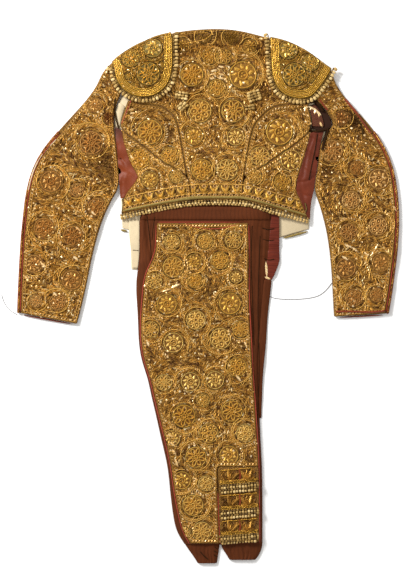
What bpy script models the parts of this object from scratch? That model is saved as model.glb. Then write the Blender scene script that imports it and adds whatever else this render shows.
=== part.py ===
"""A suit of lights laid out: a short embroidered jacket on its front, and its folded knee breeches.

The jacket lies back up with both sleeves spread. The breeches lie on their side, folded lengthwise,
with the waist pushed up inside the jacket between its fronts and its back. Sizes are in millimetres:
+Y runs from the knee to the neck, +Z is up, and the floor is at z = 0.
"""
import math
from collections import namedtuple

import bmesh
import bpy
import numpy as np

MM = 0.001
SEAM = 0.3                  # gap between two pieces that are sewn or laid together
EDGE_INSET = 0.3            # each panel stops this far short of its drawn edge
CENTRE_X = -0.5             # middle of the whole box in the tables' frame
CENTRE_Y = -0.9

# Cloth walls
FRONT_WALL = 3.0
UNDER_SLEEVE_WALL = 3.0
BACK_WALL = 4.0
SLEEVE_WALL = 3.8
LINING_WALL = 1.6
GUSSET_WALL = 2.2
TONGUE_WALL = 2.6
DARK_LINING_WALL = 1.3
LEG_WALL = 2.0
PANEL_WALL = 3.0
FLAP_WALL = 3.8
BAND_WALL = 1.8
THINNEST = 0.8              # no wall gets thinner than this

# Heights of the outer surfaces above the floor
JACKET_EDGE = 7.5           # at a free edge, over the under layer
JACKET_CROWN = 2.8          # how much higher the middle of a panel lies
JACKET_OVER_BREECHES = 11.4 # how much the breeches lift the back
JACKET_ROUNDING = 26.0      # width of the rounded margin
LIFT_ROUNDING = 30.0        # width over which the lift starts at a free edge
LIFT_FADE = 44.0            # how far beside the breeches the back comes down again
LIFT_END = 298.0            # above this the breeches' waist runs out under the back
LIFT_END_FADE = 62.0
LEG_HEIGHT = 11.0
LEG_HEIGHT_AT_HEM = 15.2
LEG_EDGE = 4.0
LEG_ROUNDING = 24.0
LEG_ROUNDING_AT_WAIST = 0.25  # share of the rounding left at the flat waist edge
UNDER_LEG_EDGE = 3.0
UNDER_LEG_CROWN = 3.2
UNDER_LEG_ROUNDING = 8.0

# Shoulder plates, fringes and braids
PLATE_EDGE = 4.0
PLATE_CROWN = 9.0
PLATE_ROUNDING = 44.0       # width of the dome's slope at the round edge
PLATE_FOLD_ROUNDING = 36.0  # and at the shoulder's fold
PLATE_FOLD_START = 4.0
PLATE_CLEARANCE = 1.2       # the worn plate and its fringe touch the shoulder only in places
PLATE_FRINGE_OVERLAP = 1.6
PLATE_COLUMNS = 7
PLATE_STRANDS = 23
PLATE_STRAND = 8.5
PLATE_FRINGE_DEPTH = 5.0
FRINGE_ROOT = 2.2
STRAND_SECTIONS = ((0.45, 1.1, 1.12), (1.0, 0.66, 0.6))  # share of the length, width, depth
TASSEL_STRANDS = 4
TASSEL_LEFT = 30.0
TASSEL_RIGHT = 36.0
TASSEL_CLEARANCE = 0.6
TASSEL_DEPTH = 5.0
HEM_STRANDS = 34
HEM_STRAND = 10.5           # longest in the middle
HEM_STRAND_TAPER = 3.0
HEM_FRINGE_DEPTH = 3.6
HEM_CLEARANCE = 0.9         # the stiff braid rides on the back's crests
KNEE_TIERS = (-440, -500, -560)
KNEE_TIER_SLANT = 3.0
KNEE_STRANDS = 9
KNEE_STRAND = 22.0
KNEE_STRAND_TAPER = 9.0
KNEE_FRINGE_DEPTH = 4.2
KNEE_CLEARANCE = 0.9
BRAID_WIDTH = 5.0
BRAID_DEPTH = 3.0
PIPING_WIDTH = 2.4
PIPING_RISE = 0.4           # the piping stands above the panel
SLEEVE_PIPING_RISE = 0.6
FRONT_TRIM_WIDTH = 6.5
FRONT_TRIM_HEIGHT = 5.4
CUFF_EDGE_WIDTH = 4.0
CUFF_EDGE_HEIGHT = 6.0
THREAD_DIAMETER = 1.3
THREAD_LIFT = 0.05
THREAD_SECTION = 3.9        # length of one straight piece of a thread

Point = namedtuple("Point", "x y")
Row = namedtuple("Row", "y left right")
Leg = namedtuple("Leg", "y left panel_left slit panel_right right")
Fold = namedtuple("Fold", "from_x from_y to_x to_y width height")
Look = namedtuple("Look", "red green blue roughness metallic")

# The back's two long seams, from the shoulder point over the armhole to the hem
BACK_LEFT = (
    Point(-165, 586), Point(-178, 566), Point(-192, 530), Point(-199, 488), Point(-189, 459),
    Point(-154, 450), Point(-114, 445), Point(-86, 427), Point(-72, 401), Point(-65, 365),
    Point(-58, 325), Point(-51, 286), Point(-43, 255), Point(-39, 224),
)
BACK_RIGHT = (
    Point(205, 586), Point(222, 566), Point(232, 530), Point(243, 488), Point(236, 459),
    Point(203, 450), Point(156, 445), Point(126, 422), Point(107, 398), Point(98, 365),
    Point(90, 325), Point(83, 283), Point(81, 255), Point(81, 224),
)
BACK_COLUMNS = 9
SIDE_COLUMNS = 5
GUSSET_COLUMNS = 3
COLLAR_ROWS = 3
SLEEVE_COLUMNS = 7
YOKE_START = 4              # row of the seams where the side panels begin
YOKE_END = 11               # row where the diagonal seam meets them

# The diagonal seam of each side, from the armhole's top round to the back's long seam
DIAGONAL_LEFT = (
    Point(-194, 445), Point(-202, 422), Point(-206, 394), Point(-180, 370), Point(-147, 347),
    Point(-114, 318), Point(-83, 300), Point(-53, 282),
)
DIAGONAL_RIGHT = (
    Point(234, 443), Point(241, 417), Point(239, 387), Point(213, 363), Point(187, 344),
    Point(156, 323), Point(126, 302), Point(88, 278),
)
# The lower side panels' outer seam, along the satin gussets, down to the hem
SIDE_LEFT = (
    Point(-204, 388), Point(-201, 366), Point(-194, 342), Point(-182, 307), Point(-166, 278),
    Point(-182, 255), Point(-199, 231), Point(-206, 192),
)
SIDE_RIGHT = (
    Point(240, 381), Point(236, 361), Point(229, 337), Point(220, 307), Point(210, 276),
    Point(206, 248), Point(217, 224), Point(234, 182),
)
GUSSET_EDGE_LEFT = (
    Point(-218.5, 396), Point(-217, 367), Point(-213.8, 337), Point(-211.3, 300), Point(-209, 271),
    Point(-208, 250), Point(-206, 229),
)
GUSSET_EDGE_RIGHT = (
    Point(271, 389), Point(265, 366), Point(260, 342), Point(255.5, 307), Point(250, 271),
    Point(246.5, 243), Point(240, 217), Point(238, 180),
)
# The neck band, from its left end to its right
COLLAR_TOP = (
    Point(-158, 591), Point(-105, 612), Point(-50, 623.5), Point(15, 627.5), Point(75, 623),
    Point(140, 606), Point(200, 590),
)
COLLAR_FOOT_Y = 586.6

# The sleeves' outer and inner edges, from the shoulder to the cuff
SLEEVE_OUTER_LEFT = (
    Point(-209, 563), Point(-246, 530), Point(-264, 492), Point(-290, 457), Point(-321, 424),
    Point(-354, 387), Point(-389, 347), Point(-415, 300), Point(-429, 248), Point(-436, 194),
    Point(-441, 140), Point(-445, 79), Point(-448, 18), Point(-450, -41),
)
SLEEVE_INNER_LEFT = (
    Point(-180, 566.5), Point(-193.5, 530), Point(-200.5, 488), Point(-213, 457), Point(-223, 431),
    Point(-221, 389), Point(-215, 337), Point(-210, 262), Point(-224, 231), Point(-246, 189),
    Point(-262, 140), Point(-277, 79), Point(-288, 18), Point(-309, -67),
)
SLEEVE_OUTER_RIGHT = (
    Point(243, 566), Point(284, 537), Point(302, 492), Point(330, 455), Point(361, 424),
    Point(391, 387), Point(417, 347), Point(436, 300), Point(445, 248), Point(449, 194),
    Point(448, 140), Point(442, 79), Point(434, 18), Point(424, -43),
)
SLEEVE_INNER_RIGHT = (
    Point(224, 566.5), Point(233.5, 530), Point(244.5, 488), Point(257, 452), Point(281, 434),
    Point(293, 403), Point(264, 358), Point(257, 300), Point(249, 250), Point(266, 200),
    Point(280, 144), Point(288, 80), Point(292, 16), Point(295, -50),
)
ARMHOLE_ROW = 3             # row of the sleeve tables where the armhole opens
SEAM_STRIP = 9.0            # under sleeve that shows outside the top sleeve's outer seam
STRIP_START = 6             # row of the smooth edges where it comes out
STRIP_FULL = 10
STRIP_CLEARANCE = 1.7

# The fronts, which lie on the floor under the back: left and right edge at each height
FRONT_LEFT = (
    Row(572, -170, -66), Row(553, -181, -48), Row(506, -187, -29), Row(450, -214.5, -20),
    Row(431, -222, -18), Row(389, -220, -15), Row(318, -212.6, -20), Row(248, -203, -29),
)
FRONT_LEFT_HEM = (Point(-205, 158), Point(-76, 130))
FRONT_RIGHT = (
    Row(572, 80, 215), Row(553, 70, 223), Row(506, 55, 232), Row(452, 50, 256),
    Row(434, 52, 280), Row(403, 58, 292), Row(358, 62, 263), Row(318, 65, 258), Row(248, 74, 241),
)
FRONT_RIGHT_HEM = (Point(126, 125), Point(238, 156))

# The folded breeches, waist first: outer edges, side panel's edges and the line of the knee slit
BREECHES = (
    Leg(318, -137, -110, 0, 95, 140), Leg(285, -143, -112, 0, 95, 143), Leg(250, -149, -115, 0, 95, 146),
    Leg(216, -156, -118, 0, 94, 147), Leg(208, -157, -119, 0, 94, 147), Leg(178, -161, -121, 0, 93, 146),
    Leg(170, -161, -121, 0, 93, 146), Leg(123, -161, -122.5, 0, 94, 142), Leg(104, -161, -124, 0, 94, 140),
    Leg(79, -162, -133, 0, 94, 137), Leg(48, -168, -149, -2, 94, 132), Leg(13, -170, -153, -3, 94, 128),
    Leg(-34, -166, -157, -2, 95.5, 124), Leg(-75, -164.5, -159.5, 0, 98, 121),
    Leg(-116, -163, -157.5, 2, 100, 118), Leg(-156, -156, -150.5, 4, 102, 116),
    Leg(-194, -142, -136.5, 6, 104, 116), Leg(-231, -135, -128.5, 8, 107, 117),
    Leg(-288, -121, -114.5, 12, 111, 119.5), Leg(-340, -110, -101, 17, 114.5, 121.5),
    Leg(-402, -94, -87, 21, 117.5, 125), Leg(-457, -90, -81, 22, 118, 126),
    Leg(-514, -83, -69.5, 24, 118.5, 126), Leg(-551, -76, -61, 25.5, 119, 126),
    Leg(-572, -64, -49, 27, 119, 126), Leg(-584, -56, -42.5, 28, 119, 126),
)
CLOTH_ROW = 3               # first row of the leg cloth, just under the jacket's hem
BAND_ROWS = (4, 5)          # rows of the waist band's two edges
PANEL_ROW = 6               # first row of the embroidered side panel
SLIT_ROW = 20               # row where the knee slit starts
MARGIN_STEPS = (0.0, 0.2, 0.55, 0.75)
PANEL_STEPS = 4             # columns of the side panel on each side of the slit's line
RIGHT_STEPS = (0.0, 0.35, 0.7, 1.0)
UNDER_LEG = (
    Row(36, 131.4, 148), Row(13, 128.7, 146), Row(-34, 124.7, 140), Row(-75, 121.7, 137),
    Row(-116, 118.7, 135),
    Row(-156, 116.8, 130), Row(-194, 116.8, 127), Row(-231, 117.8, 125.5), Row(-288, 120.3, 124),
)
WAIST_TAB = (
    Row(196, 147.5, 165), Row(170, 146.7, 166), Row(123, 142.8, 166), Row(104, 140.8, 166),
    Row(79, 137.8, 166), Row(50, 133.2, 155), Row(38, 131.8, 149),
)
WAIST_LINING = (
    Row(176, -187, -163), Row(150, -186.5, -163), Row(123, -184, -163), Row(104, -182, -163),
    Row(62, -181, -167.5),
)
CUFF_FRONT = (Row(-584.5, -55, 25), Row(-598, -46, 24), Row(-610, -37, 22), Row(-619, -31, 21),
              Row(-629, -25, 19))
CUFF_BACK = (Row(-584.5, 30, 126), Row(-594, 33, 125), Row(-602, 38, 122), Row(-611, 44, 118),
             Row(-621, 50, 110))

# The shoulder plates: the edge on the shoulder's fold, and the round edge on the back
PLATE_FOLD_LEFT = (
    Point(-227, 549), Point(-213, 562), Point(-195, 574), Point(-172, 588), Point(-150, 598),
    Point(-128, 608), Point(-107, 614), Point(-88, 618),
)
PLATE_ROUND_LEFT = (
    Point(-224, 539), Point(-218, 511), Point(-203, 485), Point(-170, 466), Point(-128, 468),
    Point(-95, 495), Point(-83, 539), Point(-83, 600),
)
PLATE_FOLD_RIGHT = (
    Point(288, 534), Point(274, 544), Point(255, 558), Point(234, 573), Point(210, 586),
    Point(187, 596), Point(166, 603), Point(145, 607),
)
PLATE_ROUND_RIGHT = (
    Point(287, 525), Point(269, 497), Point(241, 466), Point(206, 461), Point(170, 476),
    Point(151, 509), Point(146, 549), Point(144, 592),
)

# Creases: troughs have a negative height
JACKET_FOLDS = (
    Fold(-70, 433, -43, 412, 8, -1.6), Fold(-43, 412, -4, 396, 8, -1.8),
    Fold(80, 362, 70, 312, 8, -1.8), Fold(60, 440, 40, 400, 16, 0.9),
    Fold(-30, 350, -36, 300, 10, -0.9), Fold(15, 430, 15, 300, 7, -0.8),
    Fold(-150, 420, -120, 360, 12, 1.0), Fold(170, 420, 150, 360, 12, 1.0),
    Fold(20, 560, 60, 520, 14, -0.9), Fold(-30, 560, -50, 520, 14, -0.8),
)
SLEEVE_FOLDS = (
    Fold(-258, 303, -214, 290, 7, -1.6), Fold(-252, 330, -218, 322, 6, -1.2),
    Fold(-330, 300, -260, 230, 14, 1.0), Fold(-300, 120, -400, 90, 12, -1.0),
    Fold(-310, 20, -400, 40, 12, -0.8), Fold(-400, 230, -330, 190, 10, -1.0),
    Fold(337, 430, 356, 408, 6, -1.6), Fold(356, 408, 361, 386, 6, -1.5),
    Fold(264, 300, 320, 280, 9, -1.3), Fold(270, 330, 330, 325, 9, -1.1),
    Fold(300, 120, 400, 95, 12, -1.0), Fold(320, 30, 410, 60, 12, -0.8),
    Fold(400, 240, 340, 190, 12, 1.0),
)
LEG_FOLDS = (
    Fold(-139, 205, -138, 108, 3.5, -3.0), Fold(-150, 200, -149, 110, 4.5, 1.4),
    Fold(-128, 200, -128, 150, 3.0, 1.0), Fold(118, 190, 112, -40, 9, 0.8),
    Fold(130, 170, 124, 20, 8, -0.9), Fold(-60, 30, 60, -20, 26, -0.9),
    Fold(-90, -150, 40, -190, 26, 0.8), Fold(-60, -330, 70, -300, 22, -0.8),
)

# Colours from the cloth: linear red, green, blue, then roughness and metallic
GOLD_WORK = Look(0.36, 0.19, 0.055, 0.55, 0.35)
PLATE_GOLD = Look(0.48, 0.28, 0.06, 0.45, 0.45)
CORAL_SATIN = Look(0.50, 0.09, 0.045, 0.40, 0.0)
RUST_CLOTH = Look(0.17, 0.048, 0.018, 0.75, 0.0)
CREAM_LINING = Look(0.80, 0.66, 0.38, 0.80, 0.0)
DARK_LINING = Look(0.035, 0.018, 0.012, 0.85, 0.0)
FRINGE_BEADS = Look(0.62, 0.48, 0.24, 0.50, 0.15)
BRAID_GOLD = Look(0.30, 0.19, 0.045, 0.50, 0.35)
RED_PIPING = Look(0.42, 0.06, 0.025, 0.55, 0.0)
GREY_THREAD = Look(0.22, 0.21, 0.20, 0.80, 0.0)


def clear_scene():
    """Remove every object that the file starts with."""
    for old in list(bpy.data.objects):
        bpy.data.objects.remove(old, do_unlink=True)


def material(name, look):
    """One Principled material per finish."""
    made = bpy.data.materials.get(name)
    if made is None:
        made = bpy.data.materials.new(name)
        made.use_nodes = True
        shader = made.node_tree.nodes["Principled BSDF"]
        shader.inputs["Base Color"].default_value = (look.red, look.green, look.blue, 1.0)
        shader.inputs["Roughness"].default_value = look.roughness
        shader.inputs["Metallic"].default_value = look.metallic
    return made


def solid(name, corners, faces, look):
    """One closed solid from corners in millimetres."""
    mesh = bpy.data.meshes.new(name)
    places = [((x - CENTRE_X) * MM, (y - CENTRE_Y) * MM, z * MM) for x, y, z in corners]
    mesh.from_pydata(places, [], faces)
    work = bmesh.new()
    work.from_mesh(mesh)
    bmesh.ops.recalc_face_normals(work, faces=work.faces)
    if work.calc_volume(signed=True) < 0:
        bmesh.ops.reverse_faces(work, faces=work.faces)
    work.to_mesh(mesh)
    work.free()
    mesh.shade_smooth()
    mesh.set_sharp_from_angle(angle=math.radians(38))
    made = bpy.data.objects.new(name, mesh)
    bpy.context.collection.objects.link(made)
    mesh.materials.append(material(name + "_finish", look))
    return made


def smooth(points, per_span=2):
    """Points on a smooth curve through the given ones, with per_span steps in each span."""
    at = np.array(points, dtype=float)
    before = np.vstack((2 * at[0] - at[1], at, 2 * at[-1] - at[-2]))
    curve = []
    for span in range(len(at) - 1):
        p0, p1, p2, p3 = before[span:span + 4]
        for step in range(per_span):
            t = step / per_span
            curve.append(0.5 * (2 * p1 + (p2 - p0) * t + (2 * p0 - 5 * p1 + 4 * p2 - p3) * t ** 2
                                + (3 * p1 - p0 - 3 * p2 + p3) * t ** 3))
    curve.append(at[-1])
    return np.array(curve)


def spaced(points, wanted):
    """Points on the curve at the wanted fractions of its length."""
    fine = smooth(points, 8)
    steps = np.hypot(*np.diff(fine, axis=0).T)
    along = np.concatenate(([0.0], np.cumsum(steps)))
    at = np.array(wanted) * along[-1]
    return np.column_stack((np.interp(at, along, fine[:, 0]), np.interp(at, along, fine[:, 1])))


def side_normals(path, side):
    """Unit vectors square to the path, to its left for side = 1."""
    run = np.gradient(path, axis=0)
    run /= np.hypot(run[:, 0], run[:, 1])[:, None]
    return np.column_stack((-run[:, 1], run[:, 0])) * side


def distance_to(points, x, y):
    """Shortest way from (x, y) to a line through the points."""
    best = math.inf
    for (ax, ay), (bx, by) in zip(points[:-1], points[1:]):
        dx = bx - ax
        dy = by - ay
        share = ((x - ax) * dx + (y - ay) * dy) / (dx * dx + dy * dy)
        share = min(1.0, max(0.0, share))
        best = min(best, math.hypot(x - ax - share * dx, y - ay - share * dy))
    return best


def ease(share):
    """Soft step from 0 to 1."""
    share = min(1.0, max(0.0, share))
    return share * share * (3 - 2 * share)


def quarter_round(share):
    """A quarter circle's rise from 0 to 1."""
    share = min(1.0, max(0.0, share))
    return math.sqrt(1 - (1 - share) ** 2)


def fold_height(folds, x, y):
    """Sum of the creases at a place: soft across, fading at both ends."""
    total = 0.0
    for fold in folds:
        dx = fold.to_x - fold.from_x
        dy = fold.to_y - fold.from_y
        length = math.hypot(dx, dy)
        along = ((x - fold.from_x) * dx + (y - fold.from_y) * dy) / length
        beyond = max(0.0, -along, along - length)
        across = abs((x - fold.from_x) * dy - (y - fold.from_y) * dx) / length
        total += fold.height * math.exp(-(across / fold.width) ** 2 - (beyond / (1.5 * fold.width)) ** 2)
    return total


def table_edge(rows, y, column):
    """A table's left or right edge at a height."""
    heights = [-row.y for row in rows]
    return float(np.interp(-y, heights, [getattr(row, column) for row in rows]))


JACKET_FREE_EDGES = (
    [(-215, 400)] + [tuple(p) for p in GUSSET_EDGE_LEFT] + [(-206, 192), (-206, 160)],
    [(267, 395)] + [tuple(p) for p in GUSSET_EDGE_RIGHT] + [(238, 150)],
    [(-240, 530)] + [tuple(p) for p in PLATE_FOLD_LEFT[:4]] + [tuple(p) for p in COLLAR_TOP]
    + [tuple(p) for p in reversed(PLATE_FOLD_RIGHT[:5])] + [(300, 520)],
)


def over_breeches(x, y):
    """How fully the breeches lift the jacket's back, from 0 to 1."""
    left = table_edge(BREECHES, y, "left")
    right = table_edge(BREECHES, y, "right")
    outside = max(left + 4 - x, x - right + 4, 0.0)
    return (1 - ease(outside / LIFT_FADE)) * (1 - ease((y - LIFT_END) / LIFT_END_FADE))


def back_top(x, y):
    """Outer surface of the jacket's back."""
    margin = min(distance_to(edge, x, y) for edge in JACKET_FREE_EDGES)
    crown = quarter_round(margin / JACKET_ROUNDING)
    lift = JACKET_OVER_BREECHES * over_breeches(x, y)
    lift *= ease(margin / LIFT_ROUNDING)
    return JACKET_EDGE + JACKET_CROWN * crown + lift + fold_height(JACKET_FOLDS, x, y)


def sleeve_top(x, y):
    """Outer surface of the top sleeves."""
    if x < 0:
        edges = (SLEEVE_OUTER_LEFT, SLEEVE_INNER_LEFT[ARMHOLE_ROW:])
    else:
        edges = (SLEEVE_OUTER_RIGHT, SLEEVE_INNER_RIGHT[ARMHOLE_ROW:])
    margin = min(distance_to(edge, x, y) for edge in edges)
    crown = quarter_round(margin / JACKET_ROUNDING)
    return JACKET_EDGE + JACKET_CROWN * crown + fold_height(SLEEVE_FOLDS, x, y)


def jacket_top(x, y):
    """What a shoulder plate or its fringe lies on."""
    return max(back_top(x, y), sleeve_top(x, y))


def leg_top(x, y):
    """Outer surface of the breeches' brown cloth."""
    left = table_edge(BREECHES, y, "left")
    right = table_edge(BREECHES, y, "right")
    margin = min(x - left, right - x)
    full = LEG_HEIGHT + (LEG_HEIGHT_AT_HEM - LEG_HEIGHT) * ease((y - 110) / 60)
    flat = (1 - LEG_ROUNDING_AT_WAIST) * ease((y - 290) / 28)
    rounded = quarter_round(margin / LEG_ROUNDING) * (1 - flat)
    creases = fold_height(LEG_FOLDS, x, y) * ease(margin / 8)
    edge = LEG_EDGE + ground(y)
    return edge + (full - edge) * rounded + creases


def ground(y):
    """What the breeches lie on: the fronts inside the jacket, the floor below its hem."""
    return (FRONT_WALL + SEAM) * ease((y - 105) / 17)


def cloth(name, grid, top, bottom, look, keep=None):
    """A cloth wall over a grid of places; keep(row, column) says which cells it covers."""
    rows, columns = grid.shape[:2]
    cells = [(row, column) for row in range(rows - 1) for column in range(columns - 1)
             if keep is None or keep(row, column)]
    used = {}
    uppers = []
    lowers = []

    def corner(row, column):
        if (row, column) not in used:
            used[row, column] = len(uppers)
            x, y = grid[row, column]
            high = top(x, y)
            uppers.append((x, y, high))
            lowers.append((x, y, min(bottom(x, y), high - THINNEST)))
        return used[row, column]

    quads = []
    edges = {}
    for row, column in cells:
        quad = [corner(row, column), corner(row, column + 1),
                corner(row + 1, column + 1), corner(row + 1, column)]
        quads.append(quad)
        for here, there in zip(quad, quad[1:] + quad[:1]):
            edges[here, there] = True
    shift = len(uppers)
    halves = [(a, b, c) for a, b, c, d in quads] + [(a, c, d) for a, b, c, d in quads]
    faces = halves + [tuple(shift + index for index in reversed(half)) for half in halves]
    for here, there in edges:
        if (there, here) not in edges:
            faces.append((there, here, here + shift, there + shift))
    return solid(name, uppers + lowers, faces, look)


def ruled(left_edge, right_edge, across, inset=EDGE_INSET):
    """Places in straight rows between two edges with the same number of points."""
    rows = []
    for a, b in zip(np.asarray(left_edge, float), np.asarray(right_edge, float)):
        run = b - a
        step = run / np.hypot(*run) * inset
        rows.append([a + step + (run - 2 * step) * column / across for column in range(across + 1)])
    return np.array(rows)


def patch(name, left_edge, right_edge, across, top, bottom, look, inset=EDGE_INSET):
    """A cloth wall ruled between two edges."""
    return cloth(name, ruled(left_edge, right_edge, across, inset), top, bottom, look)


def join_underside(made):
    """Make one flat face of all the faces that rest on the floor."""
    work = bmesh.new()
    work.from_mesh(made.data)
    below = [face for face in work.faces if all(abs(corner.co.z) < 1e-7 for corner in face.verts)]
    bmesh.ops.dissolve_faces(work, faces=below, use_verts=False)
    work.to_mesh(made.data)
    work.free()


def floor_patch(name, left_edge, right_edge, across, top, look):
    """A piece on the floor: shaped above, with one flat face below."""
    join_underside(patch(name, left_edge, right_edge, across, top, lambda x, y: 0.0, look))


def rows_to_edges(rows, per_span=2):
    """A table's two edges as smooth curves."""
    left = smooth([(row.left, row.y) for row in rows], per_span)
    right = smooth([(row.right, row.y) for row in rows], per_span)
    return left, right


def ribbon(name, path, width, side, bottom, top, look):
    """A braid or piping of four sides along a path, widened to one side of it."""
    normals = side_normals(path, side)
    corners = []
    for (x, y), (nx, ny) in zip(path, normals):
        far_x = x + nx * width
        far_y = y + ny * width
        low = bottom(x, y)
        high = top(x, y)
        far_low = bottom(far_x, far_y)
        far_high = top(far_x, far_y)
        corners += [(x, y, low), (far_x, far_y, far_low), (far_x, far_y, far_high), (x, y, high)]
    return solid(name, corners, loft_faces(len(path), 4), look)


def loft_faces(sections, sides):
    """Faces of a tube of equal rings, closed at both ends."""
    faces = [tuple(range(sides))]
    for section in range(sections - 1):
        for side in range(sides):
            here = section * sides + side
            there = section * sides + (side + 1) % sides
            faces.append((here, there, there + sides, here + sides))
    last = (sections - 1) * sides
    faces.append(tuple(last + side for side in reversed(range(sides))))
    return faces


def fringe(name, path_points, strands, side, length, base, look, depth, fill=0.68, fall=0.0):
    """A backing strip along a path with its strands grown from the outer side.

    length(share) gives a strand's length at a share of the path, and fall how far its tip sinks.
    """
    cell = 1.0 / strands
    marks = [0.0]
    for index in range(strands):
        start = (index + (1 - fill) / 2) * cell
        marks += [start, start + fill * cell]
    marks.append(1.0)
    path = spaced(path_points, marks)
    normals = side_normals(path, side)
    corners = []
    for (x, y), (nx, ny) in zip(path, normals):
        low = base(x, y)
        for reach, z in ((0, low), (FRINGE_ROOT, low), (FRINGE_ROOT, low + depth), (0, low + depth)):
            corners.append((x + nx * reach, y + ny * reach, z))
    faces = loft_faces(len(path), 4)
    strand_cells = {4 * (2 * index + 1) + 1 for index in range(strands)}
    faces = [face for face in faces if not (len(face) == 4 and face[0] in strand_cells
                                            and face[1] == face[0] + 1 and face[2] == face[0] + 5)]
    for index in range(strands):
        station = 2 * index + 1
        root = [4 * station + 1, 4 * station + 5, 4 * station + 6, 4 * station + 2]
        share = (index + 0.5) / strands
        run = normals[station] + normals[station + 1]
        run = run / np.hypot(*run)
        previous = root
        middle = np.mean([corners[i] for i in root], axis=0)
        for part, wide, high in STRAND_SECTIONS:
            ring = []
            for corner in root:
                away = (np.array(corners[corner]) - middle) * (wide, wide, high)
                spot = middle + away
                spot[:2] += run * length(share) * part
                spot[2] -= fall * part
                ring.append(len(corners))
                corners.append(tuple(spot))
            for a in range(4):
                b = (a + 1) % 4
                faces.append((previous[a], previous[b], ring[b], ring[a]))
            previous = ring
        faces.append(tuple(previous))
    return solid(name, corners, faces, look)


def make_back():
    """The back: a yoked centre, two leaf-shaped upper sides and two lower sides."""
    left = smooth(BACK_LEFT)
    right = smooth(BACK_RIGHT)
    under = lambda x, y: back_top(x, y) - BACK_WALL
    patch("back_centre", left, right, BACK_COLUMNS, back_top, under, GOLD_WORK)
    start = 2 * YOKE_START
    end = 2 * YOKE_END
    for side, seam, diagonal, outer in (("left", left, DIAGONAL_LEFT, SIDE_LEFT),
                                        ("right", right, DIAGONAL_RIGHT, SIDE_RIGHT)):
        slant = smooth(diagonal)
        patch("back_upper_" + side, slant, seam[start:end + 1], SIDE_COLUMNS, back_top, under, GOLD_WORK)
        inner = np.vstack((slant[4:], seam[end + 1:]))
        patch("back_lower_" + side, smooth(outer), inner, SIDE_COLUMNS, back_top, under, GOLD_WORK)


def make_gussets():
    """The plain satin pieces under the arms, open at the armhole."""
    under = lambda x, y: back_top(x, y) - GUSSET_WALL
    inner = smooth(SIDE_LEFT)[:2 * len(GUSSET_EDGE_LEFT) - 1]
    patch("gusset_left", smooth(GUSSET_EDGE_LEFT), inner, GUSSET_COLUMNS, back_top, under, CORAL_SATIN)
    patch("gusset_right", smooth(GUSSET_EDGE_RIGHT), smooth(SIDE_RIGHT), GUSSET_COLUMNS, back_top, under,
          CORAL_SATIN)


def make_collar():
    """The neck band along the top."""
    upper = smooth(COLLAR_TOP)
    foot_left = BACK_LEFT[0].x
    foot_right = BACK_RIGHT[0].x
    along = np.linspace(foot_left, foot_right, len(upper))
    foot = np.column_stack((along, np.full(len(upper), COLLAR_FOOT_Y)))
    patch("collar", foot, upper, COLLAR_ROWS, back_top, lambda x, y: back_top(x, y) - BACK_WALL, GOLD_WORK)


def make_fronts():
    """The two fronts, flat on the floor, lining up."""
    level = lambda x, y: FRONT_WALL
    for side, rows, hem in (("left", FRONT_LEFT, FRONT_LEFT_HEM), ("right", FRONT_RIGHT, FRONT_RIGHT_HEM)):
        left = [(row.left, row.y) for row in rows] + [tuple(hem[0])]
        right = [(row.right, row.y) for row in rows] + [tuple(hem[1])]
        floor_patch("front_" + side, left, right, 2, level, CREAM_LINING)


def make_front_trims():
    """The fringed braid on the fronts' hems, where it shows beyond the back."""
    for side, start, end in (("left", (-208, 158.2), (-189, 154.1)), ("right", (168, 136.1), (240, 156.0))):
        path = np.array([start, ((start[0] + end[0]) / 2, (start[1] + end[1]) / 2), end])
        ribbon("front_hem_trim_" + side, path, FRONT_TRIM_WIDTH, -1, lambda x, y: 0.0,
               lambda x, y: FRONT_TRIM_HEIGHT, BRAID_GOLD)


def make_armholes():
    """What shows in the two open armholes: lining on the left, the worn tongue on the right."""
    low = FRONT_WALL + SEAM
    lining_left = [(-211, 453), (-220.5, 430), (-219.5, 410), (-217, 399)]
    lining_right = [(-197, 445), (-204.5, 423), (-207.5, 408), (-208.5, 399)]
    patch("armhole_lining_left", lining_left, lining_right, 2, lambda x, y: low + LINING_WALL,
          lambda x, y: low, CREAM_LINING)
    hole_left = [(236, 446), (243.5, 424), (243.5, 408), (243, 393)]
    hole_right = [(256, 451), (280, 433), (291, 404), (279, 386)]
    patch("armhole_lining_right", hole_left, hole_right, 3, lambda x, y: low + DARK_LINING_WALL,
          lambda x, y: low, DARK_LINING)
    tongue_low = low + DARK_LINING_WALL + SEAM
    tongue_left = [(237, 444), (244, 420), (244, 399)]
    tongue_right = [(251, 447), (265, 430), (272, 398)]
    patch("armhole_tongue_right", tongue_left, tongue_right, 2, lambda x, y: tongue_low + TONGUE_WALL,
          lambda x, y: tongue_low, GOLD_WORK)


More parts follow.
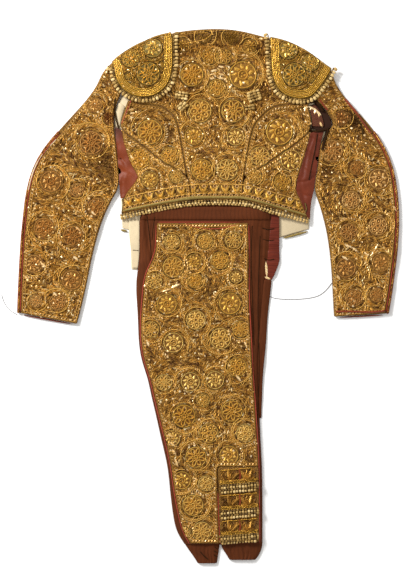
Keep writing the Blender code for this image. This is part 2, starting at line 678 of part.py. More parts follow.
def make_sleeves():
    """Each sleeve: an under sleeve flat on the floor and the top sleeve on it."""
    for side, outer_row, inner_row in (("left", SLEEVE_OUTER_LEFT, SLEEVE_INNER_LEFT),
                                       ("right", SLEEVE_OUTER_RIGHT, SLEEVE_INNER_RIGHT)):
        outer = smooth(outer_row)
        inner = smooth(inner_row)
        floor_patch("sleeve_under_" + side, outer[::2], inner[::2], 2, lambda x, y: UNDER_SLEEVE_WALL,
                    GOLD_WORK)
        normals = side_normals(outer, 1 if side == "left" else -1)
        share = [ease((row - STRIP_START) / (STRIP_FULL - STRIP_START)) for row in range(len(outer))]
        shown = np.array(share) * SEAM_STRIP
        seam = outer + normals * shown[:, None]
        patch("sleeve_top_" + side, seam, inner, SLEEVE_COLUMNS, sleeve_top,
              lambda x, y: sleeve_top(x, y) - SLEEVE_WALL, GOLD_WORK)
        strip_rows = slice(STRIP_FULL, len(outer))
        strip_inner = seam[strip_rows] - normals[strip_rows] * (PIPING_WIDTH + STRIP_CLEARANCE)
        low = UNDER_SLEEVE_WALL + SEAM
        patch("sleeve_strip_" + side, outer[strip_rows][::2], strip_inner[::2], 1,
              lambda x, y: sleeve_top(x, y) - THINNEST, lambda x, y: low, CORAL_SATIN)
        piping = seam[strip_rows] - normals[strip_rows] * SEAM
        ribbon("sleeve_piping_" + side, piping, PIPING_WIDTH, -1 if side == "left" else 1,
               lambda x, y: low + SLEEVE_PIPING_RISE, lambda x, y: sleeve_top(x, y) + SLEEVE_PIPING_RISE,
               RED_PIPING)


def make_cuff_edges():
    """The turned lining at each cuff."""
    for side, start, end in (("left", (-449, -41.7), (-310, -67.3)), ("right", (297, -50.4), (423, -43.6))):
        path = np.array([start, ((start[0] + end[0]) / 2, (start[1] + end[1]) / 2), end])
        ribbon("cuff_edge_" + side, path, CUFF_EDGE_WIDTH, -1, lambda x, y: 0.0,
               lambda x, y: CUFF_EDGE_HEIGHT, RED_PIPING)


def make_plates():
    """The domed shoulder plates and their bead fringes."""
    for side, fold, rounded, start, end in (
            ("left", PLATE_FOLD_LEFT, PLATE_ROUND_LEFT, (-240, 536), (-74, 624)),
            ("right", PLATE_FOLD_RIGHT, PLATE_ROUND_RIGHT, (296, 535), (137, 621))):
        upper = smooth(fold)
        lower = smooth(rounded)

        def plate_top(x, y, rounded=rounded, fold=fold):
            margin = distance_to(rounded, x, y)
            fall = distance_to(fold, x, y)
            crown = quarter_round(margin / PLATE_ROUNDING)
            crown *= quarter_round((fall + PLATE_FOLD_START) / PLATE_FOLD_ROUNDING)
            return jacket_top(x, y) + PLATE_EDGE + PLATE_CROWN * crown

        patch("shoulder_plate_" + side, upper, lower, PLATE_COLUMNS, plate_top,
              lambda x, y: jacket_top(x, y) + PLATE_CLEARANCE, PLATE_GOLD)
        away = 1 if side == "left" else -1
        beside = lower + side_normals(lower, -away) * PLATE_FRINGE_OVERLAP
        path = [start] + [tuple(point) for point in beside[::2]] + [end]
        fringe("plate_fringe_" + side, path, PLATE_STRANDS, -away, lambda share: PLATE_STRAND,
               lambda x, y: jacket_top(x, y) + PLATE_CLEARANCE, FRINGE_BEADS, PLATE_FRINGE_DEPTH)


def make_tassels():
    """The two bead tassels that hang from under the plates."""
    for side, path, long in (("left", ((-76, 476), (-62, 478), (-48, 473)), TASSEL_LEFT),
                             ("right", ((95, 482), (109, 486), (123, 481)), TASSEL_RIGHT)):
        fringe("tassel_" + side, path, TASSEL_STRANDS, -1, lambda share, long=long: long,
               lambda x, y: back_top(x, y) + TASSEL_CLEARANCE, FRINGE_BEADS, TASSEL_DEPTH,
               fill=0.74, fall=-0.4)


def hem_line():
    """The back's hem from side to side, through the corners of its three panels."""
    corners = (SIDE_LEFT[-1], BACK_LEFT[-1], BACK_RIGHT[-1], SIDE_RIGHT[-1])
    line = []
    for start, end, cells in zip(corners[:-1], corners[1:], (5, 9, 5)):
        for cell in range(cells):
            share = cell / cells
            line.append((start.x + (end.x - start.x) * share, start.y + (end.y - start.y) * share))
    line.append(tuple(corners[-1]))
    return np.array(line)


def make_hem():
    """The braid on the back's hem and the fringe below it."""
    line = hem_line()
    above = line + (0, 4.0)
    above[0, 0] += 2.5
    above[-1, 0] -= 2.5
    ribbon("hem_braid", above, BRAID_WIDTH, 1, lambda x, y: back_top(x, y) + HEM_CLEARANCE,
           lambda x, y: back_top(x, y) + HEM_CLEARANCE + BRAID_DEPTH, BRAID_GOLD)
    below = line - (0, 0.6)
    fringe("hem_fringe", below, HEM_STRANDS, -1,
           lambda share: HEM_STRAND - HEM_STRAND_TAPER * abs(share - 0.5),
           lambda x, y: back_top(x, y) - 3.4, FRINGE_BEADS, HEM_FRINGE_DEPTH, fill=0.74)


def leg_grid(first_row):
    """Places on the folded leg, from a row of its table down: left margin, panel, right margin."""
    grid = []
    for row in BREECHES[first_row:]:
        margin = [row.left + (row.panel_left - row.left) * share for share in MARGIN_STEPS]
        front = list(np.linspace(row.panel_left, row.slit, PANEL_STEPS + 1))
        back = list(np.linspace(row.slit, row.panel_right, PANEL_STEPS + 1))[1:]
        right = [row.panel_right + (row.right - row.panel_right) * share for share in RIGHT_STEPS[1:]]
        grid.append([(x, row.y) for x in margin + front + back + right])
    return np.array(grid, dtype=float)


PANEL_COLUMN = len(MARGIN_STEPS)
SLIT_COLUMN = PANEL_COLUMN + PANEL_STEPS
PANEL_LAST = SLIT_COLUMN + PANEL_STEPS


def on_leg(x, y):
    """Where a piece that lies on the brown cloth starts."""
    return leg_top(x, y) + SEAM


def make_breeches():
    """The folded core, the brown leg over it and the band above the panel."""
    core_top = lambda x, y: leg_top(x, y) - LEG_WALL - SEAM
    join_underside(cloth("breeches_core", leg_grid(0), core_top, lambda x, y: ground(y), RUST_CLOTH))
    cloth("leg_cloth", leg_grid(CLOTH_ROW), leg_top, lambda x, y: leg_top(x, y) - LEG_WALL, RUST_CLOTH)
    band = leg_grid(0)[BAND_ROWS[0]:BAND_ROWS[1] + 1]
    cloth("waist_band", band, lambda x, y: on_leg(x, y) + BAND_WALL, on_leg, RUST_CLOTH)


def make_leg_panel():
    """The embroidered side panel, the tiered knee flap and their red piping."""
    grid = leg_grid(PANEL_ROW)[:, PANEL_COLUMN:PANEL_LAST + 1]
    slit = SLIT_ROW - PANEL_ROW
    half_slit = PIPING_WIDTH / 2 + SEAM
    panel = grid.copy()
    panel[:, 0, 0] += EDGE_INSET
    panel[:slit + 1, -1, 0] -= EDGE_INSET
    panel[slit + 1:, PANEL_STEPS, 0] -= half_slit
    panel[-1, :, 1] += 2.0
    panel_top = lambda x, y: on_leg(x, y) + PANEL_WALL
    cloth("leg_panel", panel, panel_top, on_leg, GOLD_WORK,
          lambda row, column: row < slit or column < PANEL_STEPS)
    flap = grid[slit:, PANEL_STEPS:].copy()
    flap[0, :, 1] -= EDGE_INSET + 0.4
    flap[:, 0, 0] += half_slit
    flap[:, -1, 0] -= EDGE_INSET
    flap[-1, :, 1] += 6.0
    flap_top = lambda x, y: on_leg(x, y) + FLAP_WALL
    cloth("knee_flap", flap, flap_top, on_leg, GOLD_WORK)
    piping_top = lambda x, y: on_leg(x, y) + PANEL_WALL + PIPING_RISE
    ribbon("panel_piping_left", grid[:, 0] - (SEAM, 0), PIPING_WIDTH, -1, on_leg, piping_top, RED_PIPING)
    top_edge = grid[0] + (0, 0.6)
    ribbon("panel_piping_top", top_edge, PIPING_WIDTH, 1, on_leg, piping_top, RED_PIPING)
    ribbon("panel_piping_right", grid[:, -1] + (SEAM, 0), PIPING_WIDTH, 1, on_leg, piping_top, RED_PIPING)
    slit_path = grid[slit + 1:, PANEL_STEPS] - (PIPING_WIDTH / 2, 0)
    ribbon("slit_piping", slit_path, PIPING_WIDTH, 1, on_leg, piping_top, RED_PIPING)
    for tier, y in enumerate(KNEE_TIERS, start=1):
        path = [(28, y - KNEE_TIER_SLANT), (72, y), (115, y + KNEE_TIER_SLANT)]
        fringe("knee_fringe_%d" % tier, path, KNEE_STRANDS, -1,
               lambda share: KNEE_STRAND - KNEE_STRAND_TAPER * share,
               lambda x, y: flap_top(x, y) + KNEE_CLEARANCE, FRINGE_BEADS, KNEE_FRINGE_DEPTH,
               fill=0.72, fall=0.4)


def make_leg_ends():
    """The gathered cloth below the knee, on both sides of the slit."""
    for name, rows, gathers in (("leg_cuff_front", CUFF_FRONT, 7), ("leg_cuff_back", CUFF_BACK, 8)):
        left, right = rows_to_edges(rows, 1)
        last = rows[-1].y

        def gathered(x, y, rows=rows, gathers=gathers, last=last):
            start = table_edge(rows, y, "left")
            end = table_edge(rows, y, "right")
            share = (x - start) / (end - start)
            wave = math.cos(2 * math.pi * gathers * share + 1.3 * math.sin(5 * share))
            margin = min(share, 1 - share) * (end - start)
            return 3.2 + 4.4 * quarter_round(margin / 12) + 1.1 * wave * ease((rows[0].y + 2 - y) / 14)

        floor_patch(name, left, right, 2 * gathers, gathered, RUST_CLOTH)


def make_edges():
    """The layers that show beside the folded leg."""
    left, right = rows_to_edges(UNDER_LEG, 1)

    def rolled(x, y):
        margin = table_edge(UNDER_LEG, y, "right") - x
        return UNDER_LEG_EDGE + UNDER_LEG_CROWN * quarter_round(margin / UNDER_LEG_ROUNDING)

    floor_patch("under_leg", left, right, 2, rolled, RUST_CLOTH)
    left, right = rows_to_edges(WAIST_TAB, 3)

    def ribbed(x, y):
        middle = 1 - abs(x - 154.5) / 16
        return ground(y) + 4.2 + 0.9 * math.sin(y * 2 * math.pi / 24) + 1.4 * middle

    patch("waist_tab", left, right, 2, ribbed, lambda x, y: ground(y), CORAL_SATIN)
    left, right = rows_to_edges(WAIST_LINING, 2)
    patch("waist_lining", left, right, 2, lambda x, y: ground(y) + LINING_WALL + 0.3,
          lambda x, y: ground(y), CREAM_LINING)


def thread(name, points):
    """A loose end of sewing thread on the floor."""
    fine = smooth(points, 12)
    steps = np.hypot(*np.diff(fine, axis=0).T)
    along = np.concatenate(([0.0], np.cumsum(steps)))
    count = int(along[-1] / THREAD_SECTION) + 1
    wanted = np.linspace(0.0, along[-1], count)
    curve = bpy.data.curves.new(name, "CURVE")
    curve.dimensions = "3D"
    curve.bevel_depth = THREAD_DIAMETER / 2 * MM
    curve.bevel_resolution = 2
    curve.use_fill_caps = True
    spline = curve.splines.new("POLY")
    spline.points.add(count - 1)
    for point, at in zip(spline.points, wanted):
        x = np.interp(at, along, fine[:, 0])
        y = np.interp(at, along, fine[:, 1])
        point.co = ((x - CENTRE_X) * MM, (y - CENTRE_Y) * MM, (THREAD_DIAMETER / 2 + THREAD_LIFT) * MM, 1.0)
    made = bpy.data.objects.new(name, curve)
    bpy.context.collection.objects.link(made)
    curve.materials.append(material("thread_finish", GREY_THREAD))


def make_threads():
    """Two loose threads: one from the breeches' fold to the right sleeve, one at the left cuff."""
    thread("thread_right", ((144.8, -2.5), (157, -6.5), (175, -8.5), (195, -9), (215, -8.5), (238, -6),
                            (255, -2), (268, 5), (279, 15), (290.3, 29.5)))
    thread("thread_left", ((-450.2, -45.2), (-461, -39.5), (-470, -32), (-477, -24), (-483, -13), (-488, 3)))


clear_scene()
make_fronts()
make_front_trims()
make_sleeves()
make_cuff_edges()
make_armholes()
make_gussets()
make_back()
make_collar()
make_plates()
make_tassels()
make_hem()
make_breeches()
make_leg_panel()
make_leg_ends()
make_edges()
make_threads()
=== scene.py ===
"""Dressing of a suit of lights laid out: cloth, gold embroidery, fringes, piping and the floor.

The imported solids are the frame. Every cloth piece is a finer shell on its own solid, the thread work
is draped on those shells, and each bead fringe stands in its solid's place. Run it as a script.
"""
import math
import random
from collections import namedtuple

import bmesh
import bpy
import numpy as np
from bpy.props import FloatProperty, FloatVectorProperty, IntProperty, PointerProperty
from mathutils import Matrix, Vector, noise
from mathutils.bvhtree import BVHTree


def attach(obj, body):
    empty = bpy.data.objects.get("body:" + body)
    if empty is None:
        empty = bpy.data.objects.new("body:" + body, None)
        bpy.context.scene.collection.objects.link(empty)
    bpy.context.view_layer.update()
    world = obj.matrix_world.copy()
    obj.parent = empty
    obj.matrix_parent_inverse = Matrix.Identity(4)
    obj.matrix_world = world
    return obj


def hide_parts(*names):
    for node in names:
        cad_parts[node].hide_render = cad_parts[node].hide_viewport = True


bl_info = {
    "name": "Suit of lights",
    "version": (1, 0, 0),
    "blender": (4, 5, 0),
    "location": "3D View > Sidebar > Suit",
    "description": "Dresses the frame of a suit of lights laid flat",
    "category": "Object",
}

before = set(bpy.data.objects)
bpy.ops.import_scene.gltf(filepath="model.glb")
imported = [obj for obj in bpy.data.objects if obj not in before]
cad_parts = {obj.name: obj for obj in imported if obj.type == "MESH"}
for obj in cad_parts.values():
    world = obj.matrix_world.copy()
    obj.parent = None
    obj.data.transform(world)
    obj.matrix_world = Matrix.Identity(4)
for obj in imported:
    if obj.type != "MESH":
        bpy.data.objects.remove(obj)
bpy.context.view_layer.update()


MM = 0.001
FULL_TURN = 2 * math.pi
ANY_TURN = (0, 6.28)
GOLD = "gold_work"
TOP_FACING = 0.5            # a face that looks up more than this belongs to a piece's upper side
ON_STITCHES = 0.9 * MM      # what is sewn over the stitches lies this much higher
STRIP_SHOWS = 1.0 * MM      # how much of the sleeves' red edge is left bare
SEAM_SPREAD = 1.1 * MM      # how far a plain piece reaches over its seam gap, so that no floor shows
UNEVENNESS = 0.45           # millimetres of soft lumps all over, 25 to 40 mm across
LEAF_REACH = 120 * MM       # how far from a rosette its leaves may still grow
HEM_BAND = 36 * MM          # depth of the band of paired leaves above the hem
SEQUIN_DENSITY = 9000.0     # tried places for a sequin on each square metre
CORD_SIDES = 5
WAVE_SCALE = 0.314          # a wave texture of this scale has a period of one metre

# The photograph is taken from straight above, so places on it are places on the floor
PIXEL = 2.35 * MM
ORIGIN_PX = 208.287
ORIGIN_PY = 295.883
PHOTO_MIDDLE_PX = 205.0
PHOTO_MIDDLE_PY = 289.5
PHOTO_HEIGHT_PX = 579.0

# The floor, the light and the camera
FLOOR_REACH = 4.0
FLOOR_HEIGHT = -0.3 * MM
SKY_COLOUR = (1.0, 0.985, 0.96, 1.0)
SKY_STRENGTH = 0.62
LAMPS = {"key": ((-2.2, 2.0, 2.1), 0.9, 190.0), "fill": ((2.2, 0.6, 2.6), 2.4, 12.0)}  # place, size, power
LIT_PLACE = (0, 0.1, 0)
SENSOR_WIDTH = 36.0
CLOTH_HEIGHT = 10 * MM      # about the height of the cloth that the photograph is focused on

Spot = namedtuple("Spot", "px py radius")
Crease = namedtuple("Crease", "from_px from_py to_px to_py width height")
Line = namedtuple("Line", "finish slot width shade points")
Cut = namedtuple("Cut", "node finish levels crease width length share rests_on")
Beads = namedtuple("Beads", "out pitch size tones lift")
Tassel = namedtuple("Tassel", "px py turn columns rows")
Mark = namedtuple("Mark", "x y turn size shade lift", defaults=(0.0,))


def rows_of(kind, *rows):
    """A table's rows as named tuples."""
    return [kind(*row) for row in rows]


# Rosettes: where their middles lie and how far their rings reach, in the photograph's pixels
BACK_ROSETTES = rows_of(
    Spot,
    (192, 75, 12), (243, 75, 14.5), (217, 88, 9), (200, 111, 12), (233, 111, 12), (194, 136, 9.5),
    (235.5, 137, 9), (202, 170, 11), (227, 170, 11), (150, 132, 13), (279.5, 132, 14), (170, 156, 9),
    (139.5, 159, 10.5), (260, 156.5, 10), (291, 160, 11), (150, 180, 8.5), (282.5, 182, 8.5),
    (210, 56.5, 8), (224, 56.5, 8), (204, 36, 7.5), (231, 37, 8), (176.5, 177, 7), (254, 177, 7.5),
    (183, 45, 7), (250, 46, 7),
)
LEFT_SLEEVE_ROSETTES = rows_of(
    Spot,
    (91.5, 143, 13), (51, 181.5, 12), (97, 207, 10), (44, 228, 11), (73, 236, 11), (34, 264, 10),
    (72, 280, 11), (57.5, 302, 9), (77, 190, 7.5), (110, 118, 7), (95, 105, 8), (36, 301, 7),
)
RIGHT_SLEEVE_ROSETTES = rows_of(
    Spot,
    (332, 151, 12), (379, 179, 11.5), (351, 200, 10), (378, 226, 10.5), (349, 232, 9.5), (346, 268, 11),
    (381, 263, 10), (354, 298, 9.5), (377, 295, 8), (357, 168, 8), (341, 118, 8),
)
PANEL_ROSETTES = rows_of(
    Spot,
    (173.5, 267, 11), (194, 262, 8), (220, 260.5, 9), (195, 280.5, 8), (154.5, 281, 8), (167, 304, 10.5),
    (230, 303.5, 11.5), (196, 320, 10), (151, 329.5, 8.5), (240.5, 329, 8.5), (173.5, 342.5, 10.5),
    (220.5, 338.5, 11), (237, 367, 10), (164, 382.5, 8.5), (190.5, 381.5, 10), (215, 380, 9.5),
    (203, 400, 7), (184, 416, 12), (232, 411, 11), (172, 438, 8.5), (209, 433, 10), (245, 433, 9),
    (196, 457, 11), (229, 455, 10), (182, 480, 9.5), (206, 483, 8), (193, 505, 11), (202, 531, 10),
    (236, 277, 6.5), (172, 242, 8), (205, 241, 8), (233, 240, 8.5), (184, 531, 7),
)
LEFT_PLATE_ROSETTES = rows_of(
    Spot,
    (148.5, 74.5, 12), (153, 49, 10), (131, 59, 9.5), (162.5, 65.5, 3.6), (128.5, 77, 3.8),
)
RIGHT_PLATE_ROSETTES = rows_of(
    Spot,
    (294, 75.5, 12), (288, 50.5, 10), (310, 63.5, 9), (278.5, 67, 3.4), (310.5, 80, 3.8),
)

# Where folds keep the thread work in shadow, in pixels
SHADOWS = rows_of(
    Spot,
    (106, 162, 11), (112, 178, 7), (26, 228, 8), (113, 118, 8), (352, 116, 10), (338, 126, 8),
    (324, 168, 8), (184, 97, 8), (262, 92, 7), (130, 103, 6), (236, 203, 5), (190, 37, 10), (214, 35, 10),
    (240, 37, 10), (180, 50, 7), (258, 50, 7), (202, 38, 7), (228, 37, 7), (225, 502, 6), (224, 528, 4),
    (252, 462, 7), (216, 110, 6), (145, 206, 6), (296, 212, 7), (357, 121, 7), (362, 131, 6),
    (200, 93, 4), (247, 92, 5),
)

# Single long cream stitches, from one end to the other, in pixels
STROKES = (
    (211, 71.5, 216.5, 70), (218.5, 66.5, 224, 67.5), (210, 75, 216, 74), (218, 73.5, 224.5, 75.5),
    (210, 79, 215.5, 78.5), (217.5, 77.5, 224, 79), (232.5, 53, 235, 55), (241.5, 55.5, 245.5, 55),
    (129, 110, 134, 109), (130, 113.5, 135, 113), (130, 117, 134, 118), (130, 155, 134, 160),
    (128, 142, 131, 146), (240, 268, 247, 272.5), (163, 291.5, 171, 288.5), (171, 288, 180, 284),
    (236, 375, 241, 381), (245, 342, 247, 348), (147, 340, 149, 346), (172, 449, 176, 455),
    (170, 442, 175, 446), (168, 434, 173, 437), (175, 459, 178, 466), (265, 277, 270.5, 279),
    (266, 262, 267, 277), (76, 227, 80, 231), (23, 275, 28, 279), (41, 263, 46, 267), (53, 292, 57, 296),
    (73, 256, 78, 260), (91, 211, 96, 215), (393, 206, 397, 211), (345, 245, 352, 247.5),
    (352, 247.5, 358, 252), (364, 252, 369, 256), (370, 258, 374, 251), (374, 251, 378, 244),
    (342, 256, 348, 260), (337, 275, 340, 280), (332, 286, 337, 290), (351, 298, 356, 302),
    (320, 122, 322.5, 127), (313, 108, 318.5, 112.5), (303.5, 109, 309, 106), (308.5, 106.5, 314.5, 109),
    (306.5, 115, 309, 117), (316.5, 111, 321, 115), (229, 89, 232, 84), (227.5, 116, 226.5, 110),
    (228, 122, 227, 116), (311.5, 106.5, 310, 111), (316, 109, 314.5, 114), (305.5, 107, 304.5, 112),
    (319.5, 112.5, 319, 117),
)

# Small creases besides those of the solids, in pixels; width in pixels too, height in millimetres
CREASES = rows_of(
    Crease,
    (100, 118, 116, 134, 5, -1.5), (98, 166, 118, 160, 4, -2.0), (96, 176, 119, 172, 4, -1.7),
    (24, 236, 60, 229, 8, 1.8), (30, 275, 74, 284, 9, -1.5), (60, 200, 92, 228, 9, 1.5),
    (318, 160, 336, 170, 5, -1.9), (322, 178, 350, 182, 5, -1.5), (340, 240, 392, 252, 9, 1.8),
    (336, 284, 384, 276, 9, -1.5), (372, 150, 352, 190, 9, 1.8), (116, 150, 124, 178, 4, 1.5),
    (119, 160, 130, 190, 3.5, -1.5), (123, 178, 120, 196, 4, 1.4), (316, 140, 308, 176, 4, 1.5),
    (311, 150, 305, 190, 3.5, -1.5), (304, 176, 309, 196, 4, 1.4), (215, 120, 215, 185, 4, -1.4),
    (150, 213, 262, 216, 5, 1.4), (160, 218, 252, 219, 4, -1.0), (253, 230, 250, 300, 4, 1.2),
    (260, 224, 256, 330, 3.5, -1.4), (143, 216, 140, 262, 3.5, 1.5), (257, 340, 259, 520, 3, 0.5),
    (160, 250, 246, 262, 16, 1.8), (150, 300, 240, 318, 18, -1.5), (160, 352, 248, 362, 18, 1.8),
    (165, 400, 250, 420, 18, -1.5), (170, 460, 215, 470, 16, 1.5), (186, 80, 226, 66, 9, 1.8),
    (250, 96, 262, 112, 7, -2.0), (176, 98, 190, 110, 7, -1.8), (176, 45, 212, 36, 5, 1.7),
    (224, 36, 262, 46, 5, 1.5), (146, 215, 152, 262, 1.7, -2.0), (155, 216, 151, 240, 1.4, -1.4),
    (142, 222, 141, 258, 1.4, -1.2), (263.5, 226, 261, 340, 1.5, -1.6), (262, 228, 275, 229, 1.6, -1.4),
    (262, 238, 275, 240, 1.6, -1.2), (263, 248, 275, 251, 1.6, -1.0), (264, 258, 275, 260, 1.6, -1.4),
    (118, 146, 124, 162, 1.8, -1.6), (121, 163, 131, 172, 2.2, 1.0), (124, 176, 122, 194, 1.8, -1.0),
    (312, 140, 303, 176, 1.8, -1.6), (318, 134, 310, 168, 1.6, -1.2), (300, 172, 306, 205, 1.8, -1.2),
    (168, 214, 238, 211, 2.4, -1.4), (180, 222, 236, 219, 1.8, 1.2), (206, 547, 208, 560, 1.4, -1.4),
    (213, 546, 214, 559, 1.2, 1.0), (232, 546, 233, 555, 1.6, -1.2), (244, 545, 246, 554, 1.6, -1.2),
    (188, 544, 198, 556, 1.6, -1.2), (156, 470, 172, 540, 1.8, -1.0), (262, 350, 260, 460, 1.4, -1.0),
    (306, 150, 322, 158, 1.8, -1.6), (303, 164, 317, 172, 1.8, 1.6), (300, 182, 312, 178, 1.6, -1.8),
    (300, 192, 311, 196, 1.6, -1.4), (312, 138, 322, 142, 1.6, -1.4), (96, 158, 118, 168, 2.2, -2.6),
    (98, 150, 113, 157, 2.0, -2.0), (96, 177, 119, 173, 2.0, -2.4), (100, 168, 118, 181, 2.0, 1.6),
    (343, 106, 364, 130, 2.2, -2.4), (349, 103, 368, 124, 2.2, 1.8), (330, 118, 346, 134, 2.0, -2.0),
    (318, 160, 336, 172, 2.0, -2.0), (100, 104, 136, 100, 2.4, 1.6), (22, 216, 34, 242, 3.0, -2.0),
    (176, 90, 190, 98, 3.0, -2.2), (255, 88, 266, 96, 3.0, -2.2),
)

# The knee flap's tiers: heights of their fringes in pixels, and how much they rise to the right
KNEE_TIERS = (482.7, 508.3, 533.8)
TIER_SLANT = 1.6
# What lies on each tier: place across and direction of its sprays, and places across and above the fringe
TIER_SPRAYS = ((229.5, 1.15), (249.0, 1.75))
TIER_CIRCLES = ((222.5, -4), (222, -10), (236.5, -4), (243, -4), (256, -4), (239.5, -12), (229.5, -15),
                (249.5, -15))
TIER_PETALS = ((243, -3.5, 0.9), (245, -8, 1.2), (243.5, -12.5, 1.8), (252, -4.5, 0.4), (234, -5, 2.0),
               (236.5, -10, 1.2), (247, -14.5, 0.2), (225.5, -13, 0.8))
TIER_GAP = ((239.7, -3), (240.4, -8), (239.2, -15))
# The middles that a tier's stitches run round
TIER_MIDDLES = ((229.5, -9), (249.5, -9))

# The cut of each piece: how finely it is smoothed and how sharp its edges stay; width and length in
# millimetres before it was sewn, and how much of that rectangle it fills
CUTS = rows_of(
    Cut,
    ("back_centre", "ground", 2, 0.75, 434, 366, 0.60, ("breeches_core", "front_left", "front_right")),
    ("back_upper_left", "ground", 2, 0.75, 160, 174, 0.60, ("front_left",)),
    ("back_upper_right", "ground", 2, 0.75, 160, 174, 0.60, ("front_right",)),
    ("back_lower_left", "ground", 2, 0.75, 174, 200, 0.62, ("front_left", "breeches_core")),
    ("back_lower_right", "ground", 2, 0.75, 164, 210, 0.60, ("front_right", "breeches_core")),
    ("collar", "ground", 2, 0.75, 370, 42, 0.70, ("front_left", "front_right")),
    ("gusset_left", "coral_shaded", 3, 0.75, 50, 170, 0.51, ("front_left",)),
    ("gusset_right", "coral_worn", 3, 0.75, 52, 215, 0.60, ("front_right",)),
    ("front_left", "lining", 1, 0.9, 195, 445, 0.88, ("floor",)),
    ("front_right", "lining", 1, 0.9, 190, 450, 0.88, ("floor",)),
    ("armhole_lining_left", "lining", 1, 0.75, 25, 55, 0.55, ("front_left",)),
    # The right armhole's lining is near black: painted shade of the hollow inside the sleeve
    ("armhole_lining_right", "dark_lining", 2, 0.75, 50, 65, 0.70, ("front_right",)),
    ("armhole_tongue_right", "worn_ground", 2, 0.75, 46, 50, 0.60, ("armhole_lining_right",)),
    ("sleeve_under_left", "ground", 2, 0.9, 170, 720, 0.75, ("floor",)),
    ("sleeve_under_right", "ground", 2, 0.9, 170, 720, 0.75, ("floor",)),
    ("sleeve_top_left", "ground", 2, 0.75, 165, 720, 0.72, ("sleeve_under_left",)),
    ("sleeve_top_right", "ground", 2, 0.75, 165, 720, 0.70, ("sleeve_under_right",)),
    ("sleeve_strip_left", "coral", 1, 0.75, 14, 500, 0.60, ("sleeve_under_left",)),
    ("sleeve_strip_right", "coral", 1, 0.75, 14, 500, 0.60, ("sleeve_under_right",)),
    ("shoulder_plate_left", "plate", 3, 0.75, 170, 145, 0.72, ("back_centre", "sleeve_top_left")),
    ("shoulder_plate_right", "plate", 3, 0.75, 170, 145, 0.72, ("back_centre", "sleeve_top_right")),
    ("breeches_core", "rust", 3, 0.75, 312, 905, 0.85, ("front_left", "front_right", "floor")),
    ("leg_cloth", "rust", 3, 0.75, 312, 800, 0.85, ("breeches_core",)),
    ("waist_band", "rust", 2, 0.75, 308, 36, 0.90, ("leg_cloth",)),
    ("leg_panel", "ground", 3, 0.75, 252, 760, 0.74, ("leg_cloth",)),
    ("knee_flap", "ground", 3, 0.75, 96, 180, 0.92, ("leg_cloth",)),
    ("leg_cuff_front", "rust", 3, 0.75, 84, 60, 0.72, ("floor",)),
    ("leg_cuff_back", "rust", 3, 0.75, 96, 52, 0.80, ("floor",)),
    ("under_leg", "rust", 2, 0.75, 20, 340, 0.80, ("floor",)),
    ("waist_tab", "coral_ribbed", 3, 0.75, 30, 165, 0.87, ("front_right",)),
    ("waist_lining", "lining", 2, 0.75, 24, 115, 0.90, ("front_left",)),
)
# Plain pieces that reach over their seam gaps
SPREAD = ("gusset_left", "gusset_right", "armhole_lining_left", "armhole_lining_right",
          "armhole_tongue_right", "under_leg", "waist_tab", "waist_lining", "leg_cuff_front", "leg_cuff_back",
          "front_left", "front_right", "sleeve_strip_left", "sleeve_strip_right", "leg_cloth")
BACK_PANELS = ("back_centre", "back_upper_left", "back_upper_right", "back_lower_left", "back_lower_right")
BACK = (*BACK_PANELS, "collar")
JACKET = (*BACK, "sleeve_top_left", "sleeve_top_right")
ROSETTES = {
    **dict.fromkeys(BACK, BACK_ROSETTES),
    "sleeve_top_left": LEFT_SLEEVE_ROSETTES, "sleeve_top_right": RIGHT_SLEEVE_ROSETTES,
    "leg_panel": PANEL_ROSETTES,
    "shoulder_plate_left": LEFT_PLATE_ROSETTES, "shoulder_plate_right": RIGHT_PLATE_ROSETTES,
}
# Piping and braids by finish and slot
ROUNDED = {
    ("red", "red_piping"): ("sleeve_piping_left", "sleeve_piping_right", "panel_piping_left",
                            "panel_piping_right", "panel_piping_top", "slit_piping"),
    ("coral", "red_piping"): ("cuff_edge_left", "cuff_edge_right"),
    ("olive", "braid_gold"): ("front_hem_trim_left", "front_hem_trim_right", "hem_braid"),
}

